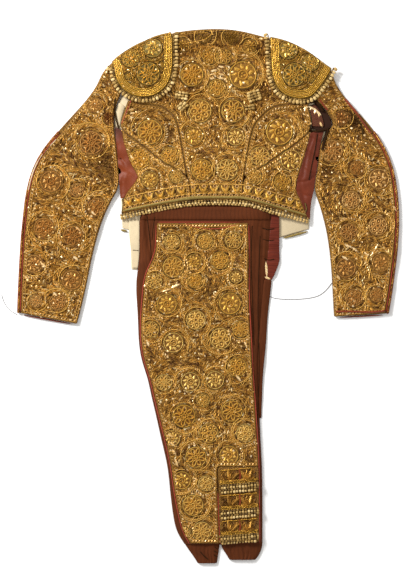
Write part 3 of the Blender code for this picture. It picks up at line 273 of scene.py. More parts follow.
# Single cords, braids and dark marks: finish, slot, width in millimetres, shade and way in pixels
LINES = rows_of(
    Line,
    ("thread", GOLD, 2.6, 0.42, ((182, 44), (195, 42), (206, 39), (213, 33))),
    ("thread", GOLD, 2.6, 0.42, ((221, 35), (225, 41), (229, 45), (240, 50))),
    ("dark", GOLD, 3.2, 0.2, ((205, 31), (212, 33), (219, 32), (226, 31.5))),
    ("olive", GOLD, 3.0, 0.25, ((122, 199), (123, 206), (122, 213), (123.5, 219))),
    ("olive", GOLD, 3.0, 0.25, ((305, 203), (306.5, 209), (304.5, 214), (306, 219))),
    ("red", "red_piping", 2.6, 0.5, ((131, 101), (126.5, 112), (121.5, 124))),
    # Dark cords over the right armhole's gaps: painted shade of the hollow
    ("dark", "dark_lining", 6.0, 0.0, ((309, 130.5), (316, 131), (322, 130.5), (326.5, 129.5))),
    ("dark", "dark_lining", 7.0, 0.0, ((328.5, 128), (326.3, 135), (324, 143), (322.5, 150))),
    ("dark", "dark_lining", 8.0, 0.0, ((305, 103), (309, 101.8), (315, 101.5), (319.5, 105.5), (323, 111))),
    ("dark", "dark_lining", 5.0, 0.0, ((310, 125.5), (310.5, 128), (312, 131))),
    ("coral", "coral_satin", 6.0, 0.5, ((345, 99), (352, 107.5), (359, 116), (366, 126), (371, 133))),
    # Painted shadow of a fold on the right sleeve
    ("dark", GOLD, 4.0, 0.3, ((349, 111), (356, 118), (362, 127), (362.5, 135))),
    # Painted shade along the left armhole's edge
    ("dark", "dark_lining", 4.0, 0.2, ((115.5, 99), (114.5, 108), (116, 118), (118.5, 128))),
    ("coral", GOLD, 4.4, 0.4, ((319.5, 99.5), (323.5, 105), (327.5, 110))),
    # Painted shade between the right gusset and the sleeve
    ("dark", GOLD, 2.2, 0.0, ((317.5, 134), (315, 150), (311.5, 166), (309, 180))),
    ("dark", "cream_lining", 1.4, 0.0, ((132.5, 250), (138.5, 250.5))),
    ("dark", "cream_lining", 1.4, 0.0, ((133, 268), (138, 268))),
    ("red", "red_piping", 2.4, 0.5, ((186, 224), (195, 227), (207, 229), (221, 228.5), (235, 225.5))),
    ("dark", "rust_cloth", 2.2, 0.0, ((200.5, 552), (204, 556), (208, 559.5))),
    ("dark", "rust_cloth", 1.8, 0.1, ((214.5, 547), (218, 549.5))),
    ("dark", "rust_cloth", 1.8, 0.1, ((214, 551), (217.5, 553))),
    ("dark", "rust_cloth", 1.8, 0.1, ((214, 555), (217, 557))),
    # Painted shade in the folds of the ribbed waist tab
    ("dark", "coral_satin", 2.0, 0.0, ((262.5, 228), (268, 229.5), (274, 228.5))),
    ("dark", "coral_satin", 1.6, 0.0, ((263, 239), (268, 240.5), (274, 240))),
    ("dark", "coral_satin", 2.0, 0.0, ((264, 258.5), (269, 260), (274, 259))),
    # Painted shade in the creases of the breeches' cloth
    ("dark", "rust_cloth", 1.6, 0.0, ((147, 216), (149, 232), (151, 252), (150.5, 262))),
    ("dark", "rust_cloth", 1.4, 0.0, ((155, 217), (153, 228), (152, 240))),
    ("dark", "rust_cloth", 1.4, 0.0, ((252, 226), (251, 262), (252.5, 300), (254, 345))),
    ("dark", "rust_cloth", 1.4, 0.0, ((260, 236), (258, 300), (259, 360), (257.5, 430))),
    ("coral", "coral_satin", 5.0, 0.5, ((336, 311.5), (352, 311.5), (370, 312), (388, 310.5))),
    ("lining", "cream_lining", 3.0, 0.5,
     ((56, 139.5), (47.6, 148.5), (40.2, 158), (34.7, 168), (31.3, 178), (28.4, 190))),
)

# The plates' round edges and the hem, as the solids have them, in pixels
PLATE_EDGES = {
    "left": ((108.5, 66.0), (113.2, 67.5), (115.7, 78.1), (122.1, 89.1), (136.2, 97.2), (154.0, 96.4),
             (168.1, 84.9), (173.2, 66.1), (173.2, 40.2), (174.5, 33.0)),
    "right": ((333.0, 68.0), (330.6, 72.1), (323.0, 84.0), (311.1, 97.2), (296.2, 99.3), (280.8, 92.9),
              (272.8, 78.9), (270.6, 61.9), (269.8, 43.6), (268.5, 34.5)),
}
HEM_EDGE = ((120.8, 214), (151, 207.5), (192, 200.5), (243, 200.5), (275, 209), (308, 217.5))

# Rows above the hem, in millimetres: from one mark to the next, height above the hem and size
HEM_CIRCLES = ((12.5, 9, 9), (25, 31, 10))
# The dark marks between the hem's sprays are painted shade
HEM_SHADE_MARKS = ((6.3, 13, 8, 1.2), (8.4, 25, 9, 1.5))   # and how far each leans

# Rows of beads, in millimetres: how far out from the edge, from one bead to the next, size, tones and lift
PLATE_BEADS = rows_of(Beads, (7.2, 8.4, (6.6, 9.0, 5.4), (0.3, 0.95), 2.0),
                      (1.6, 4.2, (3.4, 3.8, 6.4), (0.0, 0.55), 1.4))
HEM_BEADS = rows_of(Beads, (3.0, 7.4, (5.8, 4.8, 4.2), (0.0, 0.5), 0.4),
                    (7.6, 7.4, (5.8, 4.8, 4.2), (0.45, 1.0), -0.2),
                    (11.6, 7.4, (5.8, 4.8, 4.2), (0.25, 0.8), -0.8))
# On the knee flap the first and third rows are dark and lower: painted shade between the bright rows
KNEE_BEADS = rows_of(Beads, (2.6, 6.6, (5.4, 5.6, 4.2), (0.0, 0.35), 0.6),
                     (8.0, 6.6, (5.4, 5.6, 4.2), (0.35, 0.95), 1.3),
                     (13.4, 6.6, (5.4, 5.6, 4.2), (0.0, 0.4), 0.6),
                     (18.8, 6.6, (5.4, 5.6, 4.2), (0.4, 1.0), 1.3))
# The tassels' groups of beads, in pixels, and their beads, in millimetres: columns, rows, size and lift
TASSEL_BEADS = Beads(7.8, 6.6, (8.0, 5.6, 5.2), (0.2, 0.95), 0.8)
TASSELS = {
    "left": rows_of(Tassel, (181.5, 95.5, -0.15, 4, 3), (182.5, 106.0, 0.75, 3, 3)),
    "right": rows_of(Tassel, (254.0, 96.0, 0.30, 4, 4), (250.0, 107.5, 0.15, 3, 2)),
}

# The loose threads: what their far end meets, and their way in millimetres
THREADS = {
    "thread_right": ("object", (
        (144.8, -2.5), (157, -6.5), (175, -8.5), (195, -9), (215, -8.5), (238, -6), (255, -2), (268, 5),
        (279, 15), (290.3, 29.5))),
    "thread_left": ("bare", (
        (-450.2, -45.2), (-461, -39.5), (-470, -32), (-477, -24), (-483, -13), (-488, 3))),
}
THREAD_SHIFT = (0.5, 0.9)   # from the middle of the tables to the middle of the box, in millimetres
THREAD_DIAMETER = 1.3 * MM

# The groups of rosettes: the finish of each and the pieces that it covers
GROUPS = {
    "back": ("bright", BACK), "sleeve_left": ("reddish", ("sleeve_top_left",)),
    "sleeve_right": ("reddish", ("sleeve_top_right",)), "panel": ("bright", ("leg_panel",)),
    "plate_left": ("plate_thread", ("shoulder_plate_left",)),
    "plate_right": ("plate_thread", ("shoulder_plate_right",)),
}


def place(px, py):
    """Where a point of the photograph lies on the floor, in metres."""
    return (px - ORIGIN_PX) * PIXEL, (ORIGIN_PY - py) * PIXEL


def keep(piece, nodes=()):
    """Let a piece ride on the suit and stand for its solids."""
    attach(piece, "root")
    if nodes:
        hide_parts(*nodes)
    return piece


def tone_all(piece, shade):
    """Give all of a piece one shade."""
    tone = piece.data.attributes.new("shade", "FLOAT", "POINT")
    tone.data.foreach_set("value", [shade] * len(piece.data.vertices))


def link(name, data):
    """A new object at the origin with a mesh, curve, light or camera."""
    piece = bpy.data.objects.new(name, data)
    bpy.context.scene.collection.objects.link(piece)
    return piece


def baked(name, source):
    """What a source object's modifiers make of it, as a plain mesh; the source goes."""
    depsgraph = bpy.context.evaluated_depsgraph_get()
    mesh = bpy.data.meshes.new_from_object(source.evaluated_get(depsgraph), depsgraph=depsgraph)
    bpy.data.objects.remove(source, do_unlink=True)
    mesh.name = name
    return link(name, mesh)


def corners_of(mesh):
    """A mesh's corners as rows of x, y, z."""
    places = np.empty(len(mesh.vertices) * 3)
    mesh.vertices.foreach_get("co", places)
    return places.reshape(-1, 3)


def set_corners(mesh, places):
    """Put a mesh's corners at rows of x, y, z."""
    mesh.vertices.foreach_set("co", np.asarray(places, dtype=float).ravel())
    mesh.update()


class Surface:
    """The upper side of some pieces, for laying others on it."""

    def __init__(self, *pieces):
        corners = []
        faces = []
        for piece in pieces:
            shift = len(corners)
            corners += [vertex.co.copy() for vertex in piece.data.vertices]
            faces += [[shift + index for index in face.vertices] for face in piece.data.polygons]
        self.tree = BVHTree.FromPolygons(corners, faces)

    def height(self, x, y):
        """The height above the floor at a place, or None beside the pieces."""
        hit = self.tree.ray_cast(Vector((x, y, 1.0)), Vector((0, 0, -1)))
        return None if hit[0] is None else hit[0].z

    def holds(self, x, y, margin):
        """Whether a place and its surroundings are all on the pieces."""
        middle = self.height(x, y)
        if middle is None:
            return False
        for dx, dy in ((margin, 0), (-margin, 0), (0, margin), (0, -margin)):
            beside = self.height(x + dx, y + dy)
            if beside is None or abs(beside - middle) > 0.9 * margin + 2 * MM:
                return False
        return True

    def drape(self, piece):
        """Lift every corner of a flat piece by what lies under it."""
        places = corners_of(piece.data)
        for row in places:
            height = self.height(row[0], row[1])
            if height is None:
                row[0], row[1], height = self.tree.find_nearest(Vector((row[0], row[1], 0.02)))[0]
            row[2] += height
        set_corners(piece.data, places)


# Node graphs

class Graph:
    """A short way to write a material's or a modifier's nodes."""

    def __init__(self, tree):
        self.tree = tree

    def feed(self, socket, value):
        """Link a socket to another one or set its value."""
        if isinstance(value, bpy.types.NodeSocket):
            self.tree.links.new(value, socket)
        elif socket.type == "RGBA":
            socket.default_value = (*value[:3], 1.0)
        else:
            socket.default_value = value

    def add(self, kind, values=None, **settings):
        """A node with its settings and its inputs' values or links."""
        node = self.tree.nodes.new(kind)
        for key, value in settings.items():
            setattr(node, key, value)
        for key, value in (values or {}).items():
            self.feed(node.inputs[key], value)
        return node

    def math(self, operation, *values):
        """An operation on numbers or sockets."""
        return self.add("ShaderNodeMath", dict(enumerate(values)), operation=operation).outputs[0]


class Finish(Graph):
    """A material's graph, with ways to colour and raise a surface; sizes are in millimetres."""

    def __init__(self, name):
        self.material = bpy.data.materials.new(name)
        self.material.use_nodes = True
        super().__init__(self.material.node_tree)
        self.where = self.add("ShaderNodeTexCoord").outputs["Object"]

    def ramp(self, factor, stops):
        """Colours at places along a factor."""
        node = self.add("ShaderNodeValToRGB", {"Fac": factor})
        elements = node.color_ramp.elements
        for element, (position, value) in zip(elements, (stops[0], stops[-1])):
            element.position = position
            element.color = (*value, 1.0)
        for position, value in stops[1:-1]:
            elements.new(position).color = (*value, 1.0)
        return node.outputs["Color"]

    def step(self, factor, low, high):
        """Black up to a low value of a factor, white from a high one."""
        return self.ramp(factor, ((low, (0, 0, 0)), (high, (1, 1, 1))))

    def mixed(self, factor, first, second):
        """Two colours mixed by a factor."""
        return self.add("ShaderNodeMix", {0: factor, 6: first, 7: second}, data_type="RGBA").outputs[2]

    def toned(self, factor, base, tone, share, where_low=False):
        """A colour drawn by a share to a tone where a factor is high, or else where it is low."""
        drawn = self.mixed(share, base, tone)
        return self.mixed(factor, drawn, base) if where_low else self.mixed(factor, base, drawn)

    def speckle(self, size, detail=3.0, roughness=0.55):
        """Noise with lumps of a size."""
        values = {"Vector": self.where, "Scale": 1.0 / (size * MM), "Detail": detail, "Roughness": roughness}
        return self.add("ShaderNodeTexNoise", values).outputs["Fac"]

    def ridges(self, period, direction="X", bend=0.0, where=None):
        """Fine parallel threads with a period."""
        values = {"Vector": self.where if where is None else where, "Scale": WAVE_SCALE / (period * MM),
                  "Distortion": bend, "Detail": 1.0}
        return self.add("ShaderNodeTexWave", values, bands_direction=direction).outputs["Fac"]

    def span(self, value, low, high, start=0.0, end=1.0):
        """Where a value lies from low to high, counted from start to end."""
        return self.add("ShaderNodeMapRange", {"Value": value, "From Min": low, "From Max": high,
                                               "To Min": start, "To Max": end}).outputs["Result"]

    def raised(self, height, depth, strength, under=None):
        """A bump of a depth, over another one if there is one."""
        values = {"Height": height, "Distance": depth * MM, "Strength": strength}
        if under is not None:
            values["Normal"] = under
        return self.add("ShaderNodeBump", values).outputs["Normal"]

    def done(self, **sockets):
        """The material, with its shader's sockets fed; underscores stand for spaces."""
        shader = self.tree.nodes["Principled BSDF"]
        for key, value in sockets.items():
            self.feed(shader.inputs[key.replace("_", " ")], value)
        return self.material


def woven_finish(name, tint, shade, thread, roughness, worn=None, sheen=0.08, top=None):
    """Plain cloth: a weave, uneven dye and worn places, in shadow above a height on the suit."""
    look = Finish(name)
    base = look.mixed(look.speckle(45, 4.0), shade, tint)
    base = look.toned(look.speckle(3.5, 4.0), base, shade, 0.35)
    if worn is not None:
        base = look.mixed(look.step(look.speckle(18, 6.0, 0.7), 0.60, 0.72), base, worn)
    if top is not None:
        up = look.add("ShaderNodeSeparateXYZ", {"Vector": look.where}).outputs["Y"]
        base = look.mixed(look.span(up, top - 35 * MM, top + 10 * MM), base, (0.055, 0.014, 0.005))
    crossed = look.mixed(0.5, look.ridges(thread, "X"), look.ridges(thread, "Y"))
    normal = look.raised(look.speckle(9), 0.9, 0.35, look.raised(crossed, 0.12, 0.8))
    return look.done(Base_Color=base, Roughness=roughness, Normal=normal, Sheen_Weight=sheen,
                     Sheen_Roughness=0.4, Specular_IOR_Level=0.2)


def ribbed_finish(name, tint, shade, period, direction, roughness):
    """Knitted or ribbed cloth with fine lines along it, and dark streaks of painted shade for its folds."""
    look = Finish(name)
    base = look.mixed(look.speckle(60, 5.0), shade, tint)
    # Dark streaks along the cloth: painted shade of its folds
    fold_shading = look.step(look.ridges(9, direction, 5.0), 0.0, 0.55)
    base = look.toned(fold_shading, base, shade, 0.55, where_low=True)
    lines = look.ridges(period, direction, 0.4)
    base = look.toned(lines, base, shade, 0.30, where_low=True)
    base = look.toned(look.speckle(2.0), base, shade, 0.3)
    normal = look.raised(look.speckle(14, 4.0), 1.2, 0.4, look.raised(lines, 0.22, 0.8))
    return look.done(Base_Color=base, Roughness=roughness, Normal=normal, Specular_IOR_Level=0.12)


def ground_finish(name, satin, thread, dark, gold_share):
    """The satin under the thread work, crowded with couched threads and shadows."""
    look = Finish(name)
    cells = look.add("ShaderNodeTexVoronoi", {"Vector": look.where, "Scale": 1 / (8 * MM)}).outputs
    pick = look.add("ShaderNodeSeparateColor", {"Color": cells["Color"]}).outputs["Red"]
    bend = look.math("MULTIPLY", cells["Distance"], 60.0)
    lean = look.math("ADD", look.math("MULTIPLY", pick, 6.2832), bend)
    turned = look.add("ShaderNodeVectorRotate", {"Vector": look.where, "Center": cells["Position"],
                                                 "Angle": lean}, rotation_type="Z_AXIS").outputs[0]
    threads = look.ridges(1.9, "X", 0.6, turned)
    bare = 1.0 - gold_share
    cover = look.step(look.speckle(7, 4.0, 0.65), bare - 0.08, bare + 0.08)
    base = look.mixed(cover, look.mixed(threads, dark, satin), look.mixed(threads, dark, thread))
    base = look.toned(look.speckle(60), base, dark, 0.35)
    normal = look.raised(look.speckle(5), 1.2, 0.6, look.raised(threads, 0.5, 0.9))
    return look.done(Base_Color=base, Roughness=look.span(cover, 0.0, 1.0, 0.62, 0.42),
                     Metallic=look.math("MULTIPLY", cover, 0.45), Normal=normal, Specular_IOR_Level=0.25)


def thread_finish(name, stops, roughness, metallic, twist=1.1, depth=0.35, gloss=0.3):
    """Metal thread whose shade each stitch or cord brings with it."""
    look = Finish(name)
    shade = look.add("ShaderNodeAttribute", attribute_name="shade").outputs["Fac"]
    mottle = look.math("SUBTRACT", look.speckle(4), 0.5)
    wraps = look.ridges(twist, "DIAGONAL", 1.5)
    base = look.ramp(look.math("MULTIPLY_ADD", mottle, 0.5, shade), stops)
    # The grooves between the wraps are darkened: painted shade
    base = look.toned(wraps, base, (0.05, 0.02, 0.005), 0.35, where_low=True)
    return look.done(Base_Color=base, Roughness=roughness, Metallic=metallic,
                     Normal=look.raised(wraps, depth, 0.8), Specular_IOR_Level=gloss)


def floor_finish(name, tint):
    """A plain pale floor with the faintest grain."""
    look = Finish(name)
    base = look.mixed(look.speckle(60, 4.0), tint, [value * 0.985 for value in tint])
    return look.done(Base_Color=base, Roughness=0.9, Specular_IOR_Level=0.1)


# Geometry Nodes trees

def new_tree(name, **inputs):
    """An empty tree with a geometry in and out and these named inputs."""
    tree = bpy.data.node_groups.new(name, "GeometryNodeTree")
    tree.interface.new_socket("Geometry", in_out="INPUT", socket_type="NodeSocketGeometry")
    for label, kind in inputs.items():
        tree.interface.new_socket(label, in_out="INPUT", socket_type="NodeSocket" + kind)
    tree.interface.new_socket("Geometry", in_out="OUTPUT", socket_type="NodeSocketGeometry")
    graph = Graph(tree)
    return tree, graph, graph.add("NodeGroupInput").outputs


def close_tree(graph, geometry, finish):
    """Realize what a tree made and give it its material."""
    real = graph.add("GeometryNodeRealizeInstances", {"Geometry": geometry})
    dressed = graph.add("GeometryNodeSetMaterial", {"Geometry": real.outputs[0], "Material": finish})
    graph.add("NodeGroupOutput", {"Geometry": dressed.outputs[0]})


def placed(graph, points, motif, **values):
    """Copies of a motif on points."""
    shape = graph.add("GeometryNodeObjectInfo", {"Object": motif}).outputs["Geometry"]
    values.update(Points=points, Instance=shape)
    return graph.add("GeometryNodeInstanceOnPoints", values).outputs[0]


def copies_tree():
    """One copy of a motif on each point, turned and sized by the point's own values."""
    tree, graph, given = new_tree("Copies on points", Motif="Object", Finish="Material")
    points = graph.add("GeometryNodeMeshToPoints", {"Mesh": given["Geometry"]}).outputs[0]
    turn = graph.add("GeometryNodeInputNamedAttribute", {"Name": "turn"}, data_type="FLOAT")
    size = graph.add("GeometryNodeInputNamedAttribute", {"Name": "size"}, data_type="FLOAT_VECTOR")
    about = graph.add("ShaderNodeCombineXYZ", {"Z": turn.outputs["Attribute"]}).outputs[0]
    close_tree(graph, placed(graph, points, given["Motif"], Rotation=about, Scale=size.outputs["Attribute"]),
               given["Finish"])
    return tree


def strewn_tree():
    """Copies of a motif strewn over the upward faces of a mesh, no two nearer than a spacing."""
    tree, graph, given = new_tree("Strewn over cloth", Motif="Object", Spacing="Float", Density="Float",
                                  Size="Float", Seed="Int", Finish="Material")
    normal = graph.add("ShaderNodeSeparateXYZ", {"Vector": graph.add("GeometryNodeInputNormal").outputs[0]})
    upward = graph.add("FunctionNodeCompare", {0: normal.outputs["Z"], 1: 0.85}, data_type="FLOAT",
                       operation="GREATER_THAN")
    spread = graph.add("GeometryNodeDistributePointsOnFaces", {
        "Mesh": given["Geometry"], "Selection": upward.outputs[0], "Distance Min": given["Spacing"],
        "Density Max": given["Density"], "Seed": given["Seed"]}, distribute_method="POISSON").outputs
    copies = placed(graph, spread["Points"], given["Motif"], Rotation=spread["Rotation"])
    spin = graph.add("FunctionNodeRandomValue", {"Min": (-0.16, -0.16, 0.0), "Max": (0.16, 0.16, 6.28)},
                     data_type="FLOAT_VECTOR")
    turned = graph.add("GeometryNodeRotateInstances", {
        "Instances": copies, "Rotation": spin.outputs["Value"]})
    growth = graph.add("FunctionNodeRandomValue", {2: 0.65, 3: 1.25, "Seed": 5}, data_type="FLOAT")
    scaled = graph.add("GeometryNodeScaleInstances", {
        "Instances": turned.outputs[0], "Scale": graph.math("MULTIPLY", growth.outputs[1], given["Size"])})
    tone = graph.add("FunctionNodeRandomValue", {"Seed": 9}, data_type="FLOAT")
    kept = graph.add("GeometryNodeStoreNamedAttribute", {
        "Geometry": scaled.outputs[0], "Name": "shade", "Value": tone.outputs[1]},
        data_type="FLOAT", domain="INSTANCE")
    close_tree(graph, kept.outputs[0], given["Finish"])
    return tree


def cord_tree():
    """Round cords along the edges of a mesh of lines."""
    tree, graph, given = new_tree("Cords along lines", Width="Float", Finish="Material")
    lines = graph.add("GeometryNodeMeshToCurve", {"Mesh": given["Geometry"]})
    section = graph.add("GeometryNodeCurvePrimitiveCircle", {
        "Resolution": CORD_SIDES, "Radius": graph.math("MULTIPLY", given["Width"], 0.5)}, mode="RADIUS")
    tube = graph.add("GeometryNodeCurveToMesh", {
        "Curve": lines.outputs[0], "Profile Curve": section.outputs["Curve"], "Fill Caps": True})
    close_tree(graph, tube.outputs[0], given["Finish"])
    return tree


def grow(name, seed_mesh, tree, motif=None, finish=None, **values):
    """Run a tree on a mesh and keep what it makes as a plain mesh object."""
    values.update(Motif=motif, Finish=finish)
    source = link(name + "_seed", seed_mesh)
    modifier = source.modifiers.new("tree", "NODES")
    modifier.node_group = tree
    for item in tree.interface.items_tree:
        if item.item_type == "SOCKET" and item.in_out == "INPUT" and item.name in values:
            modifier[item.identifier] = values[item.name]
    return baked(name, source)


def points_mesh(marks):
    """A mesh of loose points with their turn, size and shade."""
    mesh = bpy.data.meshes.new("marks")
    mesh.from_pydata([(mark.x, mark.y, 0.0) for mark in marks], [], [])
    for label, kind, field in (("turn", "FLOAT", "value"), ("size", "FLOAT_VECTOR", "vector"),
                               ("shade", "FLOAT", "value")):
        values = np.array([getattr(mark, label) for mark in marks], dtype=float).ravel()
        mesh.attributes.new(label, kind, "POINT").data.foreach_set(field, values)
    return mesh


def lines_mesh(paths):
    """A mesh of open lines through rows of places."""
    corners = []
    edges = []
    for path in paths:
        shift = len(corners)
        corners += [tuple(point) for point in path]
        edges += [(shift + step, shift + step + 1) for step in range(len(path) - 1)]
    mesh = bpy.data.meshes.new("lines")
    mesh.from_pydata(corners, edges, [])
    return mesh


# Motifs: small closed reliefs of unit size on the plane z = 0

def around(count, reach=1.0, turn=0.0):
    """Angles and places evenly round a middle."""
    for step in range(count):
        angle = FULL_TURN * step / count + turn
        yield angle, reach * math.cos(angle), reach * math.sin(angle)


class Relief:
    """Collects the corners and faces of a small raised motif."""

    def __init__(self):
        self.corners = []
        self.faces = []

    def dome(self, x, y, radius, height, sides):
        """A low pyramid with a flat foot."""
        base = len(self.corners)
        self.corners += [(x + dx, y + dy, 0.0) for _, dx, dy in around(sides, radius)]
        self.corners.append((x, y, height))
        ring = [base + step for step in range(sides)]
        self.faces.append(tuple(reversed(ring)))
        self.faces += [(ring[step], ring[(step + 1) % sides], base + sides) for step in range(sides)]

    def ring(self, radius, width, height, sides, x=0.0, y=0.0, stretch=1.0, turn=0.0):
        """A raised ring with a triangular section, round or stretched along a direction."""
        base = len(self.corners)
        cos, sin = math.cos(turn), math.sin(turn)
        for angle, _, _ in around(sides):
            for reach, z in ((radius - width / 2, 0.0), (radius, height), (radius + width / 2, 0.0)):
                along = (reach + radius * (stretch - 1.0)) * math.cos(angle)
                across = reach * math.sin(angle)
                self.corners.append((x + along * cos - across * sin, y + along * sin + across * cos, z))
        for step in range(sides):
            here = base + 3 * step
            there = base + 3 * ((step + 1) % sides)
            self.faces += [(here + b, there + b, there + a, here + a) for a, b in ((0, 1), (1, 2), (2, 0))]

    def petal(self, start, end, width, height, bend=0.0):
        """A pointed leaf with a ridge, from one place to another."""
        start, end = np.array(start, float), np.array(end, float)
        run = end - start
        side = np.array((-run[1], run[0])) / np.hypot(*run)
        base = len(self.corners)
        broad = start + run * 0.3 + side * bend * 0.8
        narrow = start + run * 0.7 + side * bend
        outline = [start, broad - side * width / 2, narrow - side * width * 0.45, end,
                   narrow + side * width * 0.45, broad + side * width / 2]
        self.corners += [(*spot, 0.0) for spot in outline] + [(*broad, height), (*narrow, height * 0.9)]
        a, b, c, d, e, f, low, high = (base + step for step in range(8))
        self.faces += [(f, e, d, c, b, a), (a, b, low), (b, c, high, low), (c, d, high), (d, e, high),
                       (e, f, low, high), (f, a, low)]

    def finish(self, name):
        """An object with this relief, for instancing."""
        mesh = bpy.data.meshes.new(name)
        mesh.from_pydata(self.corners, [], self.faces)
        return link(name, mesh)


def daisy(relief):
    """A rosette of eight looped petals round a small ring."""
    relief.ring(0.96, 0.09, 0.07, 20)
    for angle, x, y in around(8, 0.58):
        relief.ring(0.155, 0.14, 0.15, 8, x, y, 1.75, angle)
    relief.ring(0.19, 0.15, 0.14, 8)
    relief.dome(0, 0, 0.10, 0.17, 5)


def rose(relief):
    """A rosette of five round looped lobes, each with a knot, and leaves between them."""
    relief.ring(0.97, 0.09, 0.07, 20)
    for angle, x, y in around(5, 0.52, 0.3):
        relief.ring(0.25, 0.15, 0.15, 9, x, y, 1.2, angle)
        relief.dome(x, y, 0.12, 0.13, 5)
        gap = np.array((math.cos(angle + math.pi / 5), math.sin(angle + math.pi / 5)))
        relief.petal(gap * 0.55, gap * 0.92, 0.18, 0.11)
    relief.ring(0.17, 0.12, 0.14, 8)


def wheel(relief):
    """A rosette of curved leaves round a looped middle."""
    relief.ring(0.95, 0.09, 0.07, 20)
    for (_, *start), (_, *end) in zip(around(9, 0.42), around(9, 0.86, 0.45)):
        relief.petal(start, end, 0.26, 0.13, 0.08)
    relief.ring(0.33, 0.13, 0.15, 11)
    for _, x, y in around(3, 0.13):
        relief.dome(x, y, 0.11, 0.15, 5)


# The motifs by name; the last five have one part each
MOTIFS = {
    "daisy": daisy,
    "rose": rose,
    "wheel": wheel,
    "leaf": lambda relief: relief.petal((-0.5, 0), (0.5, 0), 0.25, 0.17, 0.07),
    "petal": lambda relief: relief.petal((-0.5, 0), (0.5, 0), 0.42, 0.15),
    "disc": lambda relief: relief.dome(0, 0, 0.97, 0.05, 16),
    "circle": lambda relief: relief.ring(0.36, 0.26, 0.24, 10),
    "spangle": lambda relief: relief.dome(0, 0, 0.5, 0.14, 7),
}


def bead_motif():
    """A rounded square bead of unit width."""
    mesh = bpy.data.meshes.new("bead_motif")
    work = bmesh.new()
    bmesh.ops.create_cube(work, size=1.0)
    bmesh.ops.bevel(work, geom=work.edges[:], offset=0.22, segments=1, affect="EDGES")
    bmesh.ops.translate(work, verts=work.verts, vec=(0, 0, 0.5))
    work.to_mesh(mesh)
    work.free()
    mesh.shade_smooth()
    return link("bead_motif", mesh)


# Cloth

def joined_solid(node):
    """A CAD solid with its loose triangles joined again, as a bmesh."""
    work = bmesh.new()
    work.from_mesh(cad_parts[node].data)
    bmesh.ops.remove_doubles(work, verts=work.verts, dist=1e-6)
    bmesh.ops.join_triangles(work, faces=work.faces, angle_face_threshold=math.radians(25),
                             angle_shape_threshold=math.radians(50))
    return work


def subdivided(name, work, levels, crease, finish):
    """A bmesh smoothed by subdivision, with its sharp edges kept by a crease, in one finish."""
    layer = work.edges.layers.float.new("crease_edge")
    work.normal_update()
    for edge in work.edges:
        if len(edge.link_faces) == 2 and edge.calc_face_angle(0.0) > math.radians(40):
            edge[layer] = crease
    mesh = bpy.data.meshes.new(name)
    work.to_mesh(mesh)
    work.free()
    source = link(name + "_cage", mesh)
    modifier = source.modifiers.new("smooth", "SUBSURF")
    modifier.levels = levels
    modifier.render_levels = levels
    piece = baked(name, source)
    piece.data.shade_smooth()
    piece.data.materials.clear()
    piece.data.materials.append(finish)
    return piece


def crease_height(x, y):
    """How far the small creases lift or sink the cloth at places, in metres."""
    total = np.zeros(len(x))
    for number, (u, v) in enumerate(zip(x / (34 * MM), y / (34 * MM))):
        total[number] = noise.noise(Vector((u, v, 0.0))) + 0.4 * noise.noise(Vector((2.3 * u, 2.3 * v, 5.0)))
    total *= UNEVENNESS
    for crease in CREASES:
        ax, ay = place(crease.from_px, crease.from_py)
        bx, by = place(crease.to_px, crease.to_py)
        length = math.hypot(bx - ax, by - ay)
        along = ((x - ax) * (bx - ax) + (y - ay) * (by - ay)) / length
        across = ((x - ax) * (by - ay) - (y - ay) * (bx - ax)) / length
        beyond = np.maximum(0.0, np.maximum(-along, along - length))
        width = crease.width * PIXEL
        bow = 0.8 * width * np.sin(math.pi * np.clip(along / length, 0.0, 1.0))
        reach = ((across - bow) / width) ** 2 + (beyond / (2.5 * width)) ** 2
        total += crease.height * np.exp(-reach)
    return total * MM


def creased(piece, on_floor, spread):
    """Bend a shell by the small creases; one that lies on the floor keeps its flat underside."""
    places = corners_of(piece.data)
    lowest = places[:, 2].min()
    if spread:
        for row, vertex in zip(places, piece.data.vertices):
            row[0] += vertex.normal.x * SEAM_SPREAD
            row[1] += vertex.normal.y * SEAM_SPREAD
    lift = crease_height(places[:, 0], places[:, 1])
    if on_floor:
        lift *= np.clip((places[:, 2] - lowest) / (2 * MM), 0.0, 1.0)
    places[:, 2] = np.maximum(places[:, 2] + lift, lowest)
    set_corners(piece.data, places)


def cloth_shell(cut, finish):
    """A thin shell of cloth on its own solid's form."""
    piece = subdivided("cloth_" + cut.node, joined_solid(cut.node), cut.levels, cut.crease, finish)
    creased(piece, cut.rests_on == ("floor",), cut.node in SPREAD)
    return keep(piece, (cut.node,))


def rim(node, step=6 * MM):
    """The outline of a solid's upper side, evenly spaced, anticlockwise from above."""
    work = joined_solid(node)
    work.normal_update()
    upper = dict.fromkeys(face for face in work.faces if face.normal.z > TOP_FACING)
    following = {}
    for face in upper:
        for loop in face.loops:
            others = [other for other in loop.edge.link_faces if other is not face]
            if not others or others[0] not in upper:
                following[loop.vert] = loop.link_loop_next.vert
    start = min(following, key=lambda corner: tuple(corner.co))
    ring = [start]
    while following[ring[-1]] is not start and len(ring) <= len(following):
        ring.append(following[ring[-1]])
    line = np.array([tuple(corner.co)[:2] for corner in ring + [start]])
    work.free()
    return spaced(line, step)


def spaced(line, step):
    """A line cut into even steps."""
    lengths = np.hypot(*np.diff(line, axis=0).T)
    along = np.concatenate(([0.0], np.cumsum(lengths)))
    count = max(3, int(along[-1] / step) + 1)
    wanted = np.linspace(0.0, along[-1], count)
    return np.column_stack((np.interp(wanted, along, line[:, 0]), np.interp(wanted, along, line[:, 1])))


